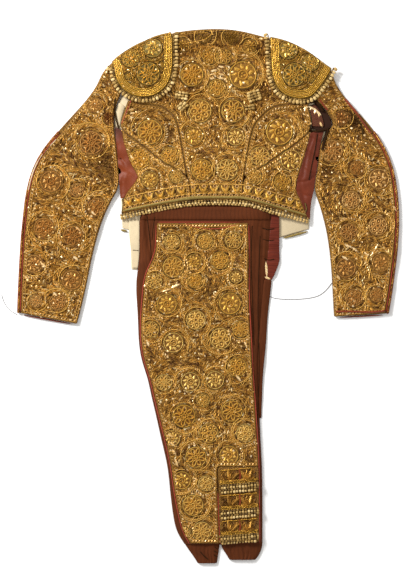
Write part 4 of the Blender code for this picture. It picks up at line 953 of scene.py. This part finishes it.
def smooth_line(points, per_span=8):
    """A smooth curve through places."""
    at = np.array(points, dtype=float)
    padded = np.vstack((2 * at[0] - at[1], at, 2 * at[-1] - at[-2]))
    curve = []
    for span in range(len(at) - 1):
        p0, p1, p2, p3 = padded[span:span + 4]
        for step in range(per_span):
            t = step / per_span
            curve.append(0.5 * (2 * p1 + (p2 - p0) * t + (2 * p0 - 5 * p1 + 4 * p2 - p3) * t ** 2
                                + (3 * p1 - p0 - 3 * p2 + p3) * t ** 3))
    curve.append(at[-1])
    return np.array(curve)


def beside(line, distance):
    """The line moved to its left by a distance."""
    run = np.gradient(line, axis=0)
    run /= np.hypot(run[:, 0], run[:, 1])[:, None] + 1e-12
    return line + np.column_stack((-run[:, 1], run[:, 0])) * distance


# Thread work

def world_line(points):
    """A smooth line on the floor through points of the photograph."""
    return smooth_line([place(px, py) for px, py in points])


def tier_line(py, from_px, to_px):
    """The line of one of the knee flap's tiers."""
    return spaced(np.array((place(from_px, py + TIER_SLANT), place(to_px, py - TIER_SLANT))), 4 * MM)


def stations(line, pitch):
    """Even steps along a line, each with its place and direction."""
    path = spaced(line, pitch)
    return [(x, y, math.atan2(dy, dx)) for (x, y), (dx, dy) in zip(path, np.gradient(path, axis=0))]


def circles_of(spots, swell=1.0):
    """The middles and radii of spots on the floor."""
    return [(*place(spot.px, spot.py), swell * spot.radius * PIXEL) for spot in spots]


def gap_to(circles, x, y):
    """How far outside the nearest circle a place lies."""
    return min(math.hypot(x - cx, y - cy) - radius for cx, cy, radius in circles)


def thread_shade(rng):
    """The tone of one stitch: mostly mid gold, some in shadow and a few bright."""
    pick = rng.random()
    if pick < 0.13:
        return rng.uniform(0.76, 1.0)
    if pick < 0.44:
        return rng.uniform(0.02, 0.26)
    return rng.uniform(0.32, 0.70)


def leafwork(surface, rosettes, rng, length, pitch, hem=None):
    """Rows of leaning stitches round every rosette, out to halfway to the next and clear of the hem band."""
    circles = circles_of(rosettes)
    marks = []
    for number, (cx, cy, radius) in enumerate(circles):
        reach = radius + 0.45 * pitch
        row = 0
        hand = 1 if number % 2 else -1
        while reach < LEAF_REACH:
            count = max(9, int(FULL_TURN * reach / (0.74 * length)))
            for step in range(count):
                angle = FULL_TURN * (step + 0.5 * (row % 2) + rng.uniform(-0.18, 0.18)) / count
                x = cx + reach * math.cos(angle)
                y = cy + reach * math.sin(angle)
                if gap_to(circles, x, y) < reach - radius - 1e-6:
                    continue
                if hem is not None and np.min(np.hypot(hem[:, 0] - x, hem[:, 1] - y)) <= HEM_BAND:
                    continue
                if not surface.holds(x, y, 0.42 * length):
                    continue
                lean = hand * (0.52 if row % 2 else -0.30) + rng.uniform(-0.15, 0.15)
                size = length * rng.uniform(0.75, 1.2)
                marks.append(Mark(x, y, angle + math.pi / 2 + lean, (size,) * 3, thread_shade(rng)))
            reach += pitch * rng.uniform(0.92, 1.08)
            row += 1
    return marks


def shadowed(marks):
    """Marks with their shades lowered where a fold keeps them in shadow."""
    folds = circles_of(SHADOWS)
    darkened = []
    for mark in marks:
        shade = mark.shade
        for cx, cy, radius in folds:
            shade *= 1.0 - 0.75 * math.exp(-((mark.x - cx) ** 2 + (mark.y - cy) ** 2) / radius ** 2)
        darkened.append(mark._replace(shade=shade))
    return darkened


def on_cloth(marks, surface, margin=2 * MM):
    """The marks that lie on the cloth."""
    return [mark for mark in marks if surface.holds(mark.x, mark.y, margin)]


def lay(name, marks, motif, finish, surface, lift=0.0):
    """Copies of a motif on marks, draped on the cloth or on the stitches over it."""
    piece = grow(name, points_mesh(shadowed(marks)), trees["copies"], motifs[motif], finishes[finish])
    set_corners(piece.data, corners_of(piece.data) + (0.0, 0.0, lift))
    surface.drape(piece)
    return keep(piece)


def cords(name, paths, width, finish, surface, lift, shade=0.6):
    """Cords along flat paths, draped on the cloth."""
    lifted = [np.column_stack((path, np.full(len(path), lift))) for path in paths if len(path) > 1]
    piece = grow(name, lines_mesh(lifted), trees["cord"], finish=finishes[finish], Width=width)
    tone_all(piece, shade)
    piece.data.shade_smooth()
    surface.drape(piece)
    return keep(piece)


def on_hidden_seam(x, y):
    """Whether a place is near the seam of back and collar, which the thread work runs over."""
    left, low = place(172, 53)
    right, high = place(264, 40)
    return left < x < right and low < y < high


def held_runs(line, surface, margin=2 * MM, seam=False):
    """The stretches of a line that lie on the cloth, without those on the hidden seam."""
    runs = [[]]
    for x, y in line:
        if surface.holds(x, y, margin) and not (seam and on_hidden_seam(x, y)):
            runs[-1].append((x, y))
        elif runs[-1]:
            runs.append([])
    return [np.array(run) for run in runs if len(run) > 3]


def arcs_round(rosettes, rng, surface):
    """Spiral scrolls round the rosettes, each with a curled end."""
    paths = []
    for cx, cy, radius in circles_of(rosettes):
        for share, span, out in ((1.16, rng.uniform(4.2, 6.0), 0.5), (1.42, rng.uniform(1.4, 2.6), 0.3)):
            start = rng.uniform(0, FULL_TURN)
            hand = rng.choice((-1, 1))
            arc = []
            for t in (step / 29 for step in range(30)):
                reach = radius * (share + out * t * t)
                angle = start + hand * span * t
                arc.append((cx + reach * math.cos(angle), cy + reach * math.sin(angle)))
            paths += held_runs(arc, surface)
    return paths


def sprays(paths, circles, length, pitch, rng):
    """Leaves standing off the scrolls, like a feather's barbs, clear of the rosettes."""
    marks = []
    for path in paths:
        if len(path) < 6:
            continue
        for x, y, along in stations(path, pitch):
            for side in (1, -1):
                turn = along + side * rng.uniform(0.55, 0.85)
                size = length * rng.uniform(0.75, 1.15)
                far = (x + math.cos(turn) * size * 0.55, y + math.sin(turn) * size * 0.55)
                if gap_to(circles, *far) > 2.2 * MM:
                    marks.append(Mark(*far, turn, (size, size * 0.72, size * 0.8), rng.uniform(0.36, 0.95)))
    return marks


def pearls_round(rosettes, rng, surface):
    """Short rows of cream petals along some of the scrolls."""
    marks = []
    for cx, cy, radius in circles_of(rosettes):
        reach = radius * rng.uniform(1.26, 1.5)
        start = rng.uniform(0, FULL_TURN)
        for step in range(rng.choice((3, 6, 9, 13))):
            angle = start + step * 6.2 * MM / reach
            size = rng.uniform(5.4, 7.6) * MM
            marks.append(Mark(cx + reach * math.cos(angle), cy + reach * math.sin(angle), angle + 0.5,
                              (size,) * 3, rng.uniform(0.5, 1.0)))
    return on_cloth(marks, surface, 3 * MM)


def tulip(x, y, up, size, rng):
    """A spray of six leaves that opens in a direction."""
    marks = []
    for lean, share in ((0.46, 1.0), (-0.46, 1.0), (0.16, 0.66), (-0.16, 0.66), (1.1, 0.52), (-1.1, 0.52)):
        turn = up + lean
        length = size * share
        reach = 0.08 * size + length / 2
        marks.append(Mark(x + math.cos(turn) * reach, y + math.sin(turn) * reach, turn,
                          (length, length * 0.95, size * 0.8), rng.uniform(0.45, 0.85)))
    return marks


def rows_beside(line, pitch, offset, size, rng, tones=(0.5, 0.9), lean=0.0):
    """Equal marks in a row beside a line."""
    return [Mark(x, y, along + lean, (size,) * 3, rng.uniform(*tones))
            for x, y, along in stations(beside(line, offset), pitch)]


# What the operators make and share
shells = {}
finishes = {}
motifs = {}
trees = {}


def length(name, description, default):
    """A length that a user would change."""
    return FloatProperty(name=name, description=description, default=default, unit="LENGTH")


def tint(name, description, default):
    """A colour that a user would change."""
    return FloatVectorProperty(name=name, description=description, default=default, subtype="COLOR")


class SuitSettings(bpy.types.PropertyGroup):
    """Sizes and colours that a user would change."""
    leaf_length: length("Leaf length", "Length of one stitched leaf", 0.0118)
    leaf_pitch: length("Leaf rows", "From one row of leaves to the next", 0.0043)
    cord_width: length("Cord width", "Width of the couched cords", 0.0026)
    border_inset: length("Border inset", "From a panel's edge to its first cord", 0.0035)
    sequin_size: length("Sequin size", "Width of a sequin", 0.0048)
    sequin_spacing: length("Sequin spacing", "Least distance of two sequins", 0.0100)
    seed: IntProperty(name="Seed", description="Changes every random choice of the thread work", default=7)
    satin: tint("Satin", "Satin under the gold", (0.20, 0.05, 0.016))
    gold: tint("Gold", "Mid tone of the metal thread", (0.64, 0.335, 0.055))
    coral: tint("Coral", "Satin of the gussets and edges", (0.29, 0.046, 0.012))
    rust: tint("Rust", "Cloth of the breeches", (0.128, 0.030, 0.006))
    lining: tint("Lining", "Cream lining", (0.68, 0.55, 0.35))
    camera_lens: FloatProperty(name="Lens", description="Focal length in millimetres", default=85.0)


def settings():
    """The scene's own settings."""
    return bpy.context.scene.suit


class SUIT_OT_finishes(bpy.types.Operator):
    """Make the materials, the motifs and the trees"""
    bl_idname = "suit.finishes"
    bl_label = "Finishes and motifs"

    def execute(self, context):
        own = settings()
        gold, coral, rust, lining = (np.array(value) for value in (own.gold, own.coral, own.rust, own.lining))
        dark = (0.075, 0.030, 0.008)
        rubbed = (0.26, 0.10, 0.055)
        # Satin, thread and shadow, and the share that thread covers
        grounds = {
            "ground": (own.satin, gold * 0.85, dark, 0.58),
            "worn_ground": ((0.20, 0.035, 0.018), gold * 0.5, dark, 0.30),
            "plate": ((0.26, 0.13, 0.02), (0.66, 0.36, 0.045), (0.09, 0.06, 0.012), 0.62),
        }
        # Tones from shadow to light, roughness and metal; then the twist's period and depth, and the gloss
        threads = {
            "thread": (((0.0, (0.055, 0.020, 0.005)), (0.22, (0.22, 0.095, 0.018)), (0.5, gold),
                        (0.78, (0.86, 0.52, 0.13)), (1.0, (1.0, 0.82, 0.44))), 0.38, 0.6),
            "bright": (((0.0, (0.16, 0.08, 0.010)), (0.35, (0.48, 0.26, 0.035)), (0.7, (0.80, 0.47, 0.08)),
                        (1.0, (1.0, 0.74, 0.25))), 0.42, 0.5),
            "sequin": (((0.0, (0.34, 0.16, 0.030)), (0.45, (0.64, 0.36, 0.10)), (0.8, (0.92, 0.62, 0.28)),
                        (1.0, (1.0, 0.80, 0.48))), 0.30, 0.35, 3, 0.1),
            "reddish": (((0.0, (0.14, 0.035, 0.010)), (0.25, (0.30, 0.10, 0.022)),
                         (0.65, (0.62, 0.30, 0.065)), (1.0, (0.95, 0.62, 0.22))), 0.36, 0.5),
            "plate_thread": (((0.0, (0.06, 0.03, 0.005)), (0.2, (0.35, 0.175, 0.022)),
                              (0.55, (0.77, 0.405, 0.038)), (1.0, (1.0, 0.76, 0.22))), 0.30, 0.65),
            # Dark thread: the embroidery's dark outlines and buttonhole, and painted shade in gaps, hollows
            # and creases
            "dark": (((0.0, (0.018, 0.008, 0.003)), (0.5, (0.06, 0.032, 0.008)), (1.0, (0.16, 0.095, 0.026))),
                     0.8, 0.0, 1.1, 0.35, 0.05),
            "bead": (((0.0, (0.10, 0.05, 0.010)), (0.3, (0.32, 0.185, 0.042)), (0.7, (0.66, 0.43, 0.14)),
                      (1.0, (0.92, 0.68, 0.31))), 0.45, 0.15, 0.9),
            "olive": (((0.0, (0.06, 0.04, 0.008)), (0.5, (0.26, 0.18, 0.04)), (1.0, (0.55, 0.42, 0.14))),
                      0.5, 0.3),
        }
        # Tint, shade, the weave's period and roughness; then the worn places' colour, the sheen and the
        # height on the suit where a shadow begins
        weaves = {
            "coral": (coral, coral * 0.4, 0.9, 0.42, rubbed),
            # A darker copy of the coral, for the right gusset
            "coral_worn": (coral * 0.62, coral * 0.22, 0.9, 0.42, (0.16, 0.07, 0.03)),
            "coral_shaded": ((0.25, 0.045, 0.008), (0.09, 0.014, 0.003), 0.9, 0.42, rubbed, 0.08, 0.385),
            # Near-black lining of the right armhole: painted shade of the hollow inside the sleeve
            "dark_lining": ((0.046, 0.015, 0.005), (0.012, 0.004, 0.002), 0.9, 0.9, None, 0.0),
            "lining": (lining, lining * 0.75, 0.8, 0.85),
            "red": ((0.42, 0.06, 0.025), (0.22, 0.03, 0.015), 1.1, 0.5),
            "grey": ((0.22, 0.21, 0.20), (0.12, 0.11, 0.11), 0.5, 0.7),
        }
        # Tint, shade, the ribs' period and direction, and roughness
        ribs = {
            "coral_ribbed": ((0.20, 0.032, 0.013), (0.07, 0.011, 0.006), 5, "Y", 0.42),
            "rust": (rust, rust * 0.45, 1.5, "X", 0.78),
        }
        for make, looks in ((ground_finish, grounds), (thread_finish, threads), (woven_finish, weaves),
                            (ribbed_finish, ribs), (floor_finish, {"floor": ((0.93, 0.93, 0.93),)})):
            for name, look in looks.items():
                finishes[name] = make(name + "_finish", *look)
        for name, build in MOTIFS.items():
            relief = Relief()
            build(relief)
            motifs[name] = relief.finish(name + "_motif")
        motifs["bead"] = bead_motif()
        trees.update(copies=copies_tree(), strewn=strewn_tree(), cord=cord_tree())
        return {"FINISHED"}


class SUIT_OT_cloth(bpy.types.Operator):
    """Cut every cloth piece as a thin shell on its own solid"""
    bl_idname = "suit.cloth"
    bl_label = "Cloth"

    def execute(self, context):
        for cut in CUTS:
            shells[cut.node] = cloth_shell(cut, finishes[cut.finish])
        return {"FINISHED"}


class SUIT_OT_trims(bpy.types.Operator):
    """Round off the piping and the braids"""
    bl_idname = "suit.trims"
    bl_label = "Piping and braids"

    def execute(self, context):
        for (finish, slot), nodes in ROUNDED.items():
            for node in nodes:
                piece = subdivided("round_" + node, joined_solid(node), 2, 0.0, finishes[finish])
                tone_all(piece, 0.55)
                keep(piece, (node,))
        return {"FINISHED"}


class SUIT_OT_rosettes(bpy.types.Operator):
    """Lay the rosettes on the back, the sleeves, the side panel and the shoulder plates"""
    bl_idname = "suit.rosettes"
    bl_label = "Rosettes"

    def execute(self, context):
        rng = random.Random(settings().seed)
        for label, (finish, nodes) in GROUPS.items():
            plate = label.startswith("plate")
            sleeve = label.startswith("sleeve")
            surface = Surface(*[shells[node] for node in nodes])
            kinds = {"daisy": [], "rose": [], "wheel": []}
            outlines = []
            turns = np.linspace(0, FULL_TURN, 29)
            for number, (x, y, radius) in enumerate(circles_of(ROSETTES[nodes[0]])):
                size = radius * (0.88 if sleeve else 0.95)
                outer = 1.05 * size
                outlines.append(np.column_stack((x + outer * np.cos(turns), y + outer * np.sin(turns))))
                kind = tuple(kinds)[(number * 2 + number // 3) % 3]
                kinds[kind].append(Mark(x, y, rng.uniform(*ANY_TURN), (size,) * 3, rng.uniform(0.66, 0.9)))
            felt = [mark._replace(turn=0.0, shade=rng.uniform(0.16, 0.30))
                    for marks in kinds.values() for mark in marks]
            lay("felt_" + label, felt, "disc", "olive" if plate else "thread", surface)
            # Dark rings round the rosettes: partly the embroidery's dark outlines, partly painted shade round
            # the raised rosettes
            if not sleeve:
                width, shade = (2.0 * MM, 0.5) if plate else (1.2 * MM, 1.0)
                cords("outlines_" + label, outlines, width, "dark", surface, 0.7 * MM, shade)
            for kind, marks in kinds.items():
                if marks:
                    lay("%s_%s" % (kind, label), marks, kind, finish, surface, 0.5 * MM)
        return {"FINISHED"}


class SUIT_OT_leafwork(bpy.types.Operator):
    """Fill the embroidered pieces with leaves, scrolls, border cords and sequins"""
    bl_idname = "suit.leafwork"
    bl_label = "Leafwork"

    def execute(self, context):
        own = settings()
        rng = random.Random(own.seed + 1)
        for node, rosettes in ROSETTES.items():
            self.fill(own, rng, node, rosettes)
        for side, top_py in (("left", 120), ("right", 90)):
            self.fill_strip(own, rng, side, place(0, top_py)[1])
        return {"FINISHED"}

    def fill(self, own, rng, node, rosettes):
        """All the work on one embroidered piece; the plates have less of it."""
        plate = node.startswith("shoulder")
        scale = 0.8 if plate else 1.0
        seam = node in ("collar", "back_centre")
        surface = Surface(shells[node])
        outline = rim(node)
        leaves = leafwork(surface, rosettes, rng, own.leaf_length * scale, own.leaf_pitch * scale,
                          world_line(HEM_EDGE) if node in BACK_PANELS else None)
        scrolls = arcs_round(rosettes, rng, surface)
        if not plate:
            flow = 18.0 * MM if node.startswith("sleeve") else 10.5 * MM
            plumes = on_cloth(sprays(scrolls, circles_of(rosettes, 1.12), flow, 0.42 * flow, rng), surface)
            lay("plumes_" + node, plumes, "leaf", "thread", surface, 0.5 * MM)
        lay("leaves_" + node, leaves, "leaf", "thread", surface)
        finish, shade = ("plate_thread", 0.25) if plate else ("thread", 0.60)
        cords("scrolls_" + node, scrolls, own.cord_width * 0.75, finish, surface, 1.7 * MM, shade)
        edge = held_runs(beside(outline, own.border_inset), surface, 1.5 * MM, seam)
        edge += held_runs(beside(outline, own.border_inset + 5.5 * MM), surface, 2 * MM, seam)
        cords("border_" + node, edge, own.cord_width * 0.85, "thread", surface, 0.6 * MM, 0.36)
        if not plate:
            petals = on_cloth(rows_beside(outline, 7.4 * MM, own.border_inset + 2.8 * MM, 6.4 * MM, rng,
                                          (0.1, 0.9), 0.7), surface)
            petals = [mark for mark in petals if not (seam and on_hidden_seam(mark.x, mark.y))]
            petals += pearls_round(rosettes, rng, surface)
            lay("border_petals_" + node, petals, "petal", "sequin", surface, ON_STITCHES)
        sequins = grow("sequins_" + node, shells[node].data.copy(), trees["strewn"], motifs["spangle"],
                       finishes["sequin"], Spacing=own.sequin_spacing, Density=SEQUIN_DENSITY,
                       Size=own.sequin_size, Seed=own.seed + len(node))
        set_corners(sequins.data, corners_of(sequins.data) + (0.0, 0.0, ON_STITCHES))
        keep(sequins)

    def fill_strip(self, own, rng, side, highest):
        """Two rows of leaves on the under sleeve's edge that shows."""
        surface = Surface(shells["sleeve_strip_" + side])
        outer = rim("sleeve_under_" + side)
        marks = []
        for inset, lean in ((1.2, -0.5), (3.8, 0.5)):
            marks += rows_beside(outer, 4.2 * MM, STRIP_SHOWS + inset * MM, own.leaf_length * 0.7, rng,
                                 (0.1, 0.7), lean)
        marks = [mark for mark in marks if mark.y < highest and surface.height(mark.x, mark.y) is not None]
        lay("strip_leaves_" + side, marks, "leaf", "thread", surface)


class SUIT_OT_borders(bpy.types.Operator):
    """Lay the hem band, the plates' cords, the knee flap's tiers and the single stitches and lines"""
    bl_idname = "suit.borders"
    bl_label = "Bands and tiers"

    def execute(self, context):
        own = settings()
        rng = random.Random(own.seed + 2)
        self.hem_band(own, rng)
        self.plate_cords()
        self.knee_flap(own, rng)
        self.single_stitches(own, rng)
        return {"FINISHED"}

    def hem_band(self, own, rng):
        """Sprays with circles and dark marks of painted shade between them, and two cords, above the hem."""
        hem = world_line(HEM_EDGE)
        back = Surface(*[shells[node] for node in BACK_PANELS])
        leaves = []
        for x, y, along in stations(beside(hem, 13 * MM), 25 * MM):
            leaves += tulip(x, y, along + math.pi / 2, 22 * MM, rng)
        lay("hem_leaves", on_cloth(leaves, back), "leaf", "bright", back, 0.8 * MM)
        circles = []
        for pitch, offset, size in HEM_CIRCLES:
            circles += rows_beside(hem, pitch * MM, offset * MM, size * MM, rng)
        lay("hem_circles", on_cloth(circles, back), "circle", "sequin", back, 0.5 * MM)
        # Dark marks between the sprays: painted shade
        gaps = []
        for pitch, offset, size, lean in HEM_SHADE_MARKS:
            gaps += rows_beside(hem, pitch * MM, offset * MM, size * MM, rng, (0.0, 0.6), lean)
        lay("hem_gaps", on_cloth(gaps, back), "petal", "dark", back)
        lines = held_runs(beside(hem, 14.5 * MM), back) + held_runs(beside(hem, HEM_BAND - 0.5 * MM), back)
        cords("hem_cords", lines, own.cord_width, "thread", back, 0.8 * MM)

    def plate_cords(self):
        """Five cords inside each plate's round edge, with dark ones between them as painted shadows."""
        for side, edge in PLATE_EDGES.items():
            surface = Surface(shells["shoulder_plate_" + side])
            line = world_line(edge)
            inward = 1 if side == "left" else -1
            for kind, first, width, finish, lift, shade in (
                    ("cords", 4.5, 2.5, "plate_thread", 0.8, 0.60), ("shadows", 6.3, 1.6, "dark", 0.4, 0.8)):
                paths = []
                for number in range(5):
                    offset = round(first + 3.6 * number, 1)
                    paths += held_runs(spaced(beside(line, inward * offset * MM), 5 * MM), surface)
                cords("plate_%s_%s" % (kind, side), paths, width * MM, finish, surface, lift * MM,
                      shade)

    def knee_flap(self, own, rng):
        """Each tier's leaning sprays, circles and petals, its cords and their shadows."""
        flap = Surface(shells["knee_flap"])
        leaves, circles, petals, paths, shades, gaps = ([] for _ in range(6))
        for py in KNEE_TIERS:
            tier = tier_line(py, 219.5, 258.0)
            for px, up in TIER_SPRAYS:
                x, y = place(px, py - 1.5)
                leaves += tulip(x, y, up, 32 * MM, rng)
                leaves += tulip(x + 1.0 * MM, y + 2 * MM, up + 0.15, 22 * MM, rng)
            circles += [Mark(*place(px, py + dy), 0.0, (7.5 * MM,) * 3, rng.uniform(0.1, 0.7))
                        for px, dy in TIER_CIRCLES]
            petals += [Mark(*place(px, py + dy), turn, (9.5 * MM, 9 * MM, 6 * MM), rng.uniform(0.2, 0.6))
                       for px, dy, turn in TIER_PETALS]
            gaps.append(np.array([place(px, py + dy) for px, dy in TIER_GAP]))
            for offset in (1.2, 4.6, 7.4, 33.0):
                paths += held_runs(beside(tier, offset * MM), flap, 1.5 * MM)
            shades += held_runs(beside(tier, 2.9 * MM), flap, 1.5 * MM)
        leaves = [mark._replace(shade=0.66 * mark.shade) for mark in on_cloth(leaves, flap)]
        lay("flap_leaves", leaves, "leaf", "thread", flap, 0.6 * MM)
        lay("flap_circles", on_cloth(circles, flap), "circle", "thread", flap, 0.4 * MM)
        lay("flap_petals", on_cloth(petals, flap), "petal", "reddish", flap, 0.3 * MM)
        cords("flap_cords", paths, 2.2 * MM, "plate_thread", flap, 1.2 * MM, 0.32)
        cords("flap_shadows", shades, 2.6 * MM, "dark", flap, 0.6 * MM, 0.2)
        cords("flap_gaps", gaps, 4.5 * MM, "coral", flap, 0.2 * MM)
        middles = [Spot(px, py + dy, 1.5) for py in KNEE_TIERS for px, dy in TIER_MIDDLES]
        marks = leafwork(flap, middles, rng, own.leaf_length, own.leaf_pitch)
        marks = [mark._replace(shade=0.5 * mark.shade) for mark in marks]
        lay("flap_stitches", marks, "leaf", "thread", flap)

    def single_stitches(self, own, rng):
        """Stitches over the collar's seam, the long cream stitches and the single lines."""
        seam = []
        for _ in range(260):
            x, y = place(rng.uniform(177, 262), rng.uniform(42.5, 50.5))
            seam.append(Mark(x, y, rng.uniform(*ANY_TURN), (own.leaf_length,) * 3, thread_shade(rng)))
        lay("seam_stitches", seam, "leaf", "thread", Surface(shells["collar"], shells["back_centre"]))
        suit = Surface(*shells.values())
        strokes = []
        for ax, ay, bx, by in STROKES:
            run = math.hypot(bx - ax, by - ay) * PIXEL
            strokes.append(Mark(*place((ax + bx) / 2, (ay + by) / 2), math.atan2(ay - by, bx - ax),
                                (run * 1.15, min(run * 0.9, 13 * MM), 9 * MM), rng.uniform(0.70, 0.95)))
        lay("long_stitches", strokes, "petal", "sequin", suit, ON_STITCHES)
        for number, line in enumerate(LINES):
            path = spaced(world_line(line.points), 3 * MM)
            cords("line_%d" % number, [path], line.width * MM, line.finish, suit, 0.3 * line.width * MM,
                  line.shade)


class SUIT_OT_fringes(bpy.types.Operator):
    """String the beads of the fringes and the tassels"""
    bl_idname = "suit.fringes"
    bl_label = "Fringes and tassels"

    def execute(self, context):
        rng = random.Random(settings().seed + 3)
        jacket = Surface(*[shells[node] for node in JACKET])
        for side, edge in PLATE_EDGES.items():
            outward = -1 if side == "left" else 1
            line = world_line(edge)
            marks = [mark for beads in PLATE_BEADS for mark in self.row(line, beads, outward, rng)]
            self.string("plate_beads_" + side, marks, jacket, "plate_fringe_" + side)
        hem = world_line(HEM_EDGE)
        marks = [mark for beads in HEM_BEADS for mark in self.row(hem, beads, -1, rng)]
        self.string("hem_beads", marks, jacket, "hem_fringe")
        for side, groups in TASSELS.items():
            marks = [mark for group in groups for mark in self.tassel(group, rng)]
            self.string("tassel_beads_" + side, marks, jacket, "tassel_" + side)
        flap = Surface(shells["knee_flap"])
        for tier, py in enumerate(KNEE_TIERS, start=1):
            line = tier_line(py, 220.0, 257.5)
            marks = []
            for number, beads in enumerate(KNEE_BEADS):
                marks += self.row(line[number % 2:len(line) - 2 * (number // 3)], beads, -1, rng)
            self.string("knee_beads_%d" % tier, marks, flap, "knee_fringe_%d" % tier)
        return {"FINISHED"}

    def row(self, line, beads, outward, rng):
        """Beads in a row beside a line, on its left if outward is 1 and on its right if it is -1."""
        marks = []
        for x, y, along in stations(beside(line, outward * beads.out * MM), beads.pitch * MM):
            size = tuple(np.array(beads.size) * MM * rng.uniform(0.80, 1.10))
            x += rng.uniform(-0.6, 0.6) * MM
            y += rng.uniform(-0.6, 0.6) * MM
            turn = along + rng.uniform(-0.32, 0.32)
            marks.append(Mark(x, y, turn, size, rng.uniform(*beads.tones), beads.lift * MM))
        return marks

    def tassel(self, group, rng):
        """One group of a tassel's beads, in columns and rows about its middle."""
        cx, cy = place(group.px, group.py)
        cos, sin = math.cos(group.turn), math.sin(group.turn)
        marks = []
        for column in range(group.columns):
            for row in range(group.rows):
                across = (column - (group.columns - 1) / 2) * TASSEL_BEADS.out * MM
                down = -(row - (group.rows - 1) / 2) * TASSEL_BEADS.pitch * MM
                size = tuple(np.array(TASSEL_BEADS.size) * MM * rng.uniform(0.80, 1.12))
                x = cx + across * cos - down * sin + rng.uniform(-0.9, 0.9) * MM
                y = cy + across * sin + down * cos
                turn = group.turn + rng.uniform(-0.4, 0.4)
                marks.append(Mark(x, y, turn, size, rng.uniform(*TASSEL_BEADS.tones), TASSEL_BEADS.lift * MM))
        return marks

    def string(self, name, marks, surface, node):
        """Lay beads on the cloth in place of a solid fringe."""
        piece = grow(name, points_mesh(marks), trees["copies"], motifs["bead"], finishes["bead"])
        each = len(motifs["bead"].data.vertices)
        places = corners_of(piece.data)
        for number, mark in enumerate(marks):
            height = surface.height(mark.x, mark.y)
            if height is None:
                height = surface.tree.find_nearest(Vector((mark.x, mark.y, 0.01)))[0].z
            places[number * each:(number + 1) * each, 2] += height + mark.lift
        set_corners(piece.data, places)
        piece.data.shade_smooth()
        keep(piece, (node,))


class SUIT_OT_threads(bpy.types.Operator):
    """Lay the two loose threads on the floor"""
    bl_idname = "suit.threads"
    bl_label = "Loose threads"

    def execute(self, context):
        radius = THREAD_DIAMETER / 2
        for node, (far_end, route) in THREADS.items():
            dx, dy = THREAD_SHIFT
            line = smooth_line([((x + dx) * MM, (y + dy) * MM) for x, y in route], 4)
            curve = bpy.data.curves.new(node + "_line", "CURVE")
            curve.dimensions = "3D"
            curve.bevel_depth = radius
            curve.bevel_resolution = 3
            curve.use_fill_caps = True
            spline = curve.splines.new("POLY")
            spline.points.add(len(line) - 1)
            for point, (x, y) in zip(spline.points, line):
                point.co = (x, y, radius + 0.05 * MM, 1.0)
            curve.materials.append(finishes["grey"])
            piece = keep(link("loose_" + node, curve), (node,))
        return {"FINISHED"}


class SUIT_OT_stage(bpy.types.Operator):
    """Set the floor, the light and the camera"""
    bl_idname = "suit.stage"
    bl_label = "Stage"

    def execute(self, context):
        scene = context.scene
        square = ((-1, -1), (1, -1), (1, 1), (-1, 1))
        corners = [(x * FLOOR_REACH, y * FLOOR_REACH, FLOOR_HEIGHT) for x, y in square]
        mesh = bpy.data.meshes.new("floor")
        mesh.from_pydata(corners, [], [(0, 1, 2, 3)])
        mesh.materials.append(finishes["floor"])
        link("floor", mesh)
        scene.view_settings.view_transform = "Standard"
        scene.world = scene.world or bpy.data.worlds.new("studio")
        scene.world.use_nodes = True
        background = scene.world.node_tree.nodes["Background"]
        background.inputs["Color"].default_value = SKY_COLOUR
        background.inputs["Strength"].default_value = SKY_STRENGTH
        for label, (where, size, power) in LAMPS.items():
            light = bpy.data.lights.new(label, "AREA")
            light.shape = "SQUARE"
            light.size = size
            light.energy = power
            lamp = link(label, light)
            lamp.location = where
            lamp.rotation_euler = (Vector(LIT_PLACE) - Vector(where)).to_track_quat("-Z", "Y").to_euler()
        camera = bpy.data.cameras.new("camera")
        camera.lens = settings().camera_lens
        camera.sensor_width = SENSOR_WIDTH
        camera.clip_end = 50.0
        distance = PHOTO_HEIGHT_PX * PIXEL * camera.lens / camera.sensor_width
        scene.camera = link("camera", camera)
        scene.camera.location = (*place(PHOTO_MIDDLE_PX, PHOTO_MIDDLE_PY), distance + CLOTH_HEIGHT)
        return {"FINISHED"}


class SUIT_OT_clear_up(bpy.types.Operator):
    """Remove the motifs that the copies were made from"""
    bl_idname = "suit.clear_up"
    bl_label = "Clear up"

    def execute(self, context):
        for motif in motifs.values():
            bpy.data.objects.remove(motif, do_unlink=True)
        motifs.clear()
        return {"FINISHED"}


STEPS = (SUIT_OT_finishes, SUIT_OT_cloth, SUIT_OT_trims, SUIT_OT_rosettes, SUIT_OT_leafwork, SUIT_OT_borders,
         SUIT_OT_fringes, SUIT_OT_threads, SUIT_OT_stage, SUIT_OT_clear_up)


class SUIT_PT_panel(bpy.types.Panel):
    """Sizes, colours and steps of the suit"""
    bl_idname = "SUIT_PT_panel"
    bl_label = "Suit of lights"
    bl_space_type = "VIEW_3D"
    bl_region_type = "UI"
    bl_category = "Suit"

    def draw(self, context):
        own = context.scene.suit
        for name in SuitSettings.__annotations__:
            self.layout.prop(own, name)
        for step in STEPS:
            self.layout.operator(step.bl_idname)


CLASSES = (SuitSettings, *STEPS, SUIT_PT_panel)


def register():
    for cls in CLASSES:
        bpy.utils.register_class(cls)
    bpy.types.Scene.suit = PointerProperty(type=SuitSettings)


def unregister():
    del bpy.types.Scene.suit
    for cls in reversed(CLASSES):
        bpy.utils.unregister_class(cls)


def main():
    """Dress the suit step by step."""
    register()
    for step in STEPS:
        area, call = step.bl_idname.split(".")
        getattr(getattr(bpy.ops, area), call)()


if __name__ == "__main__":
    main()
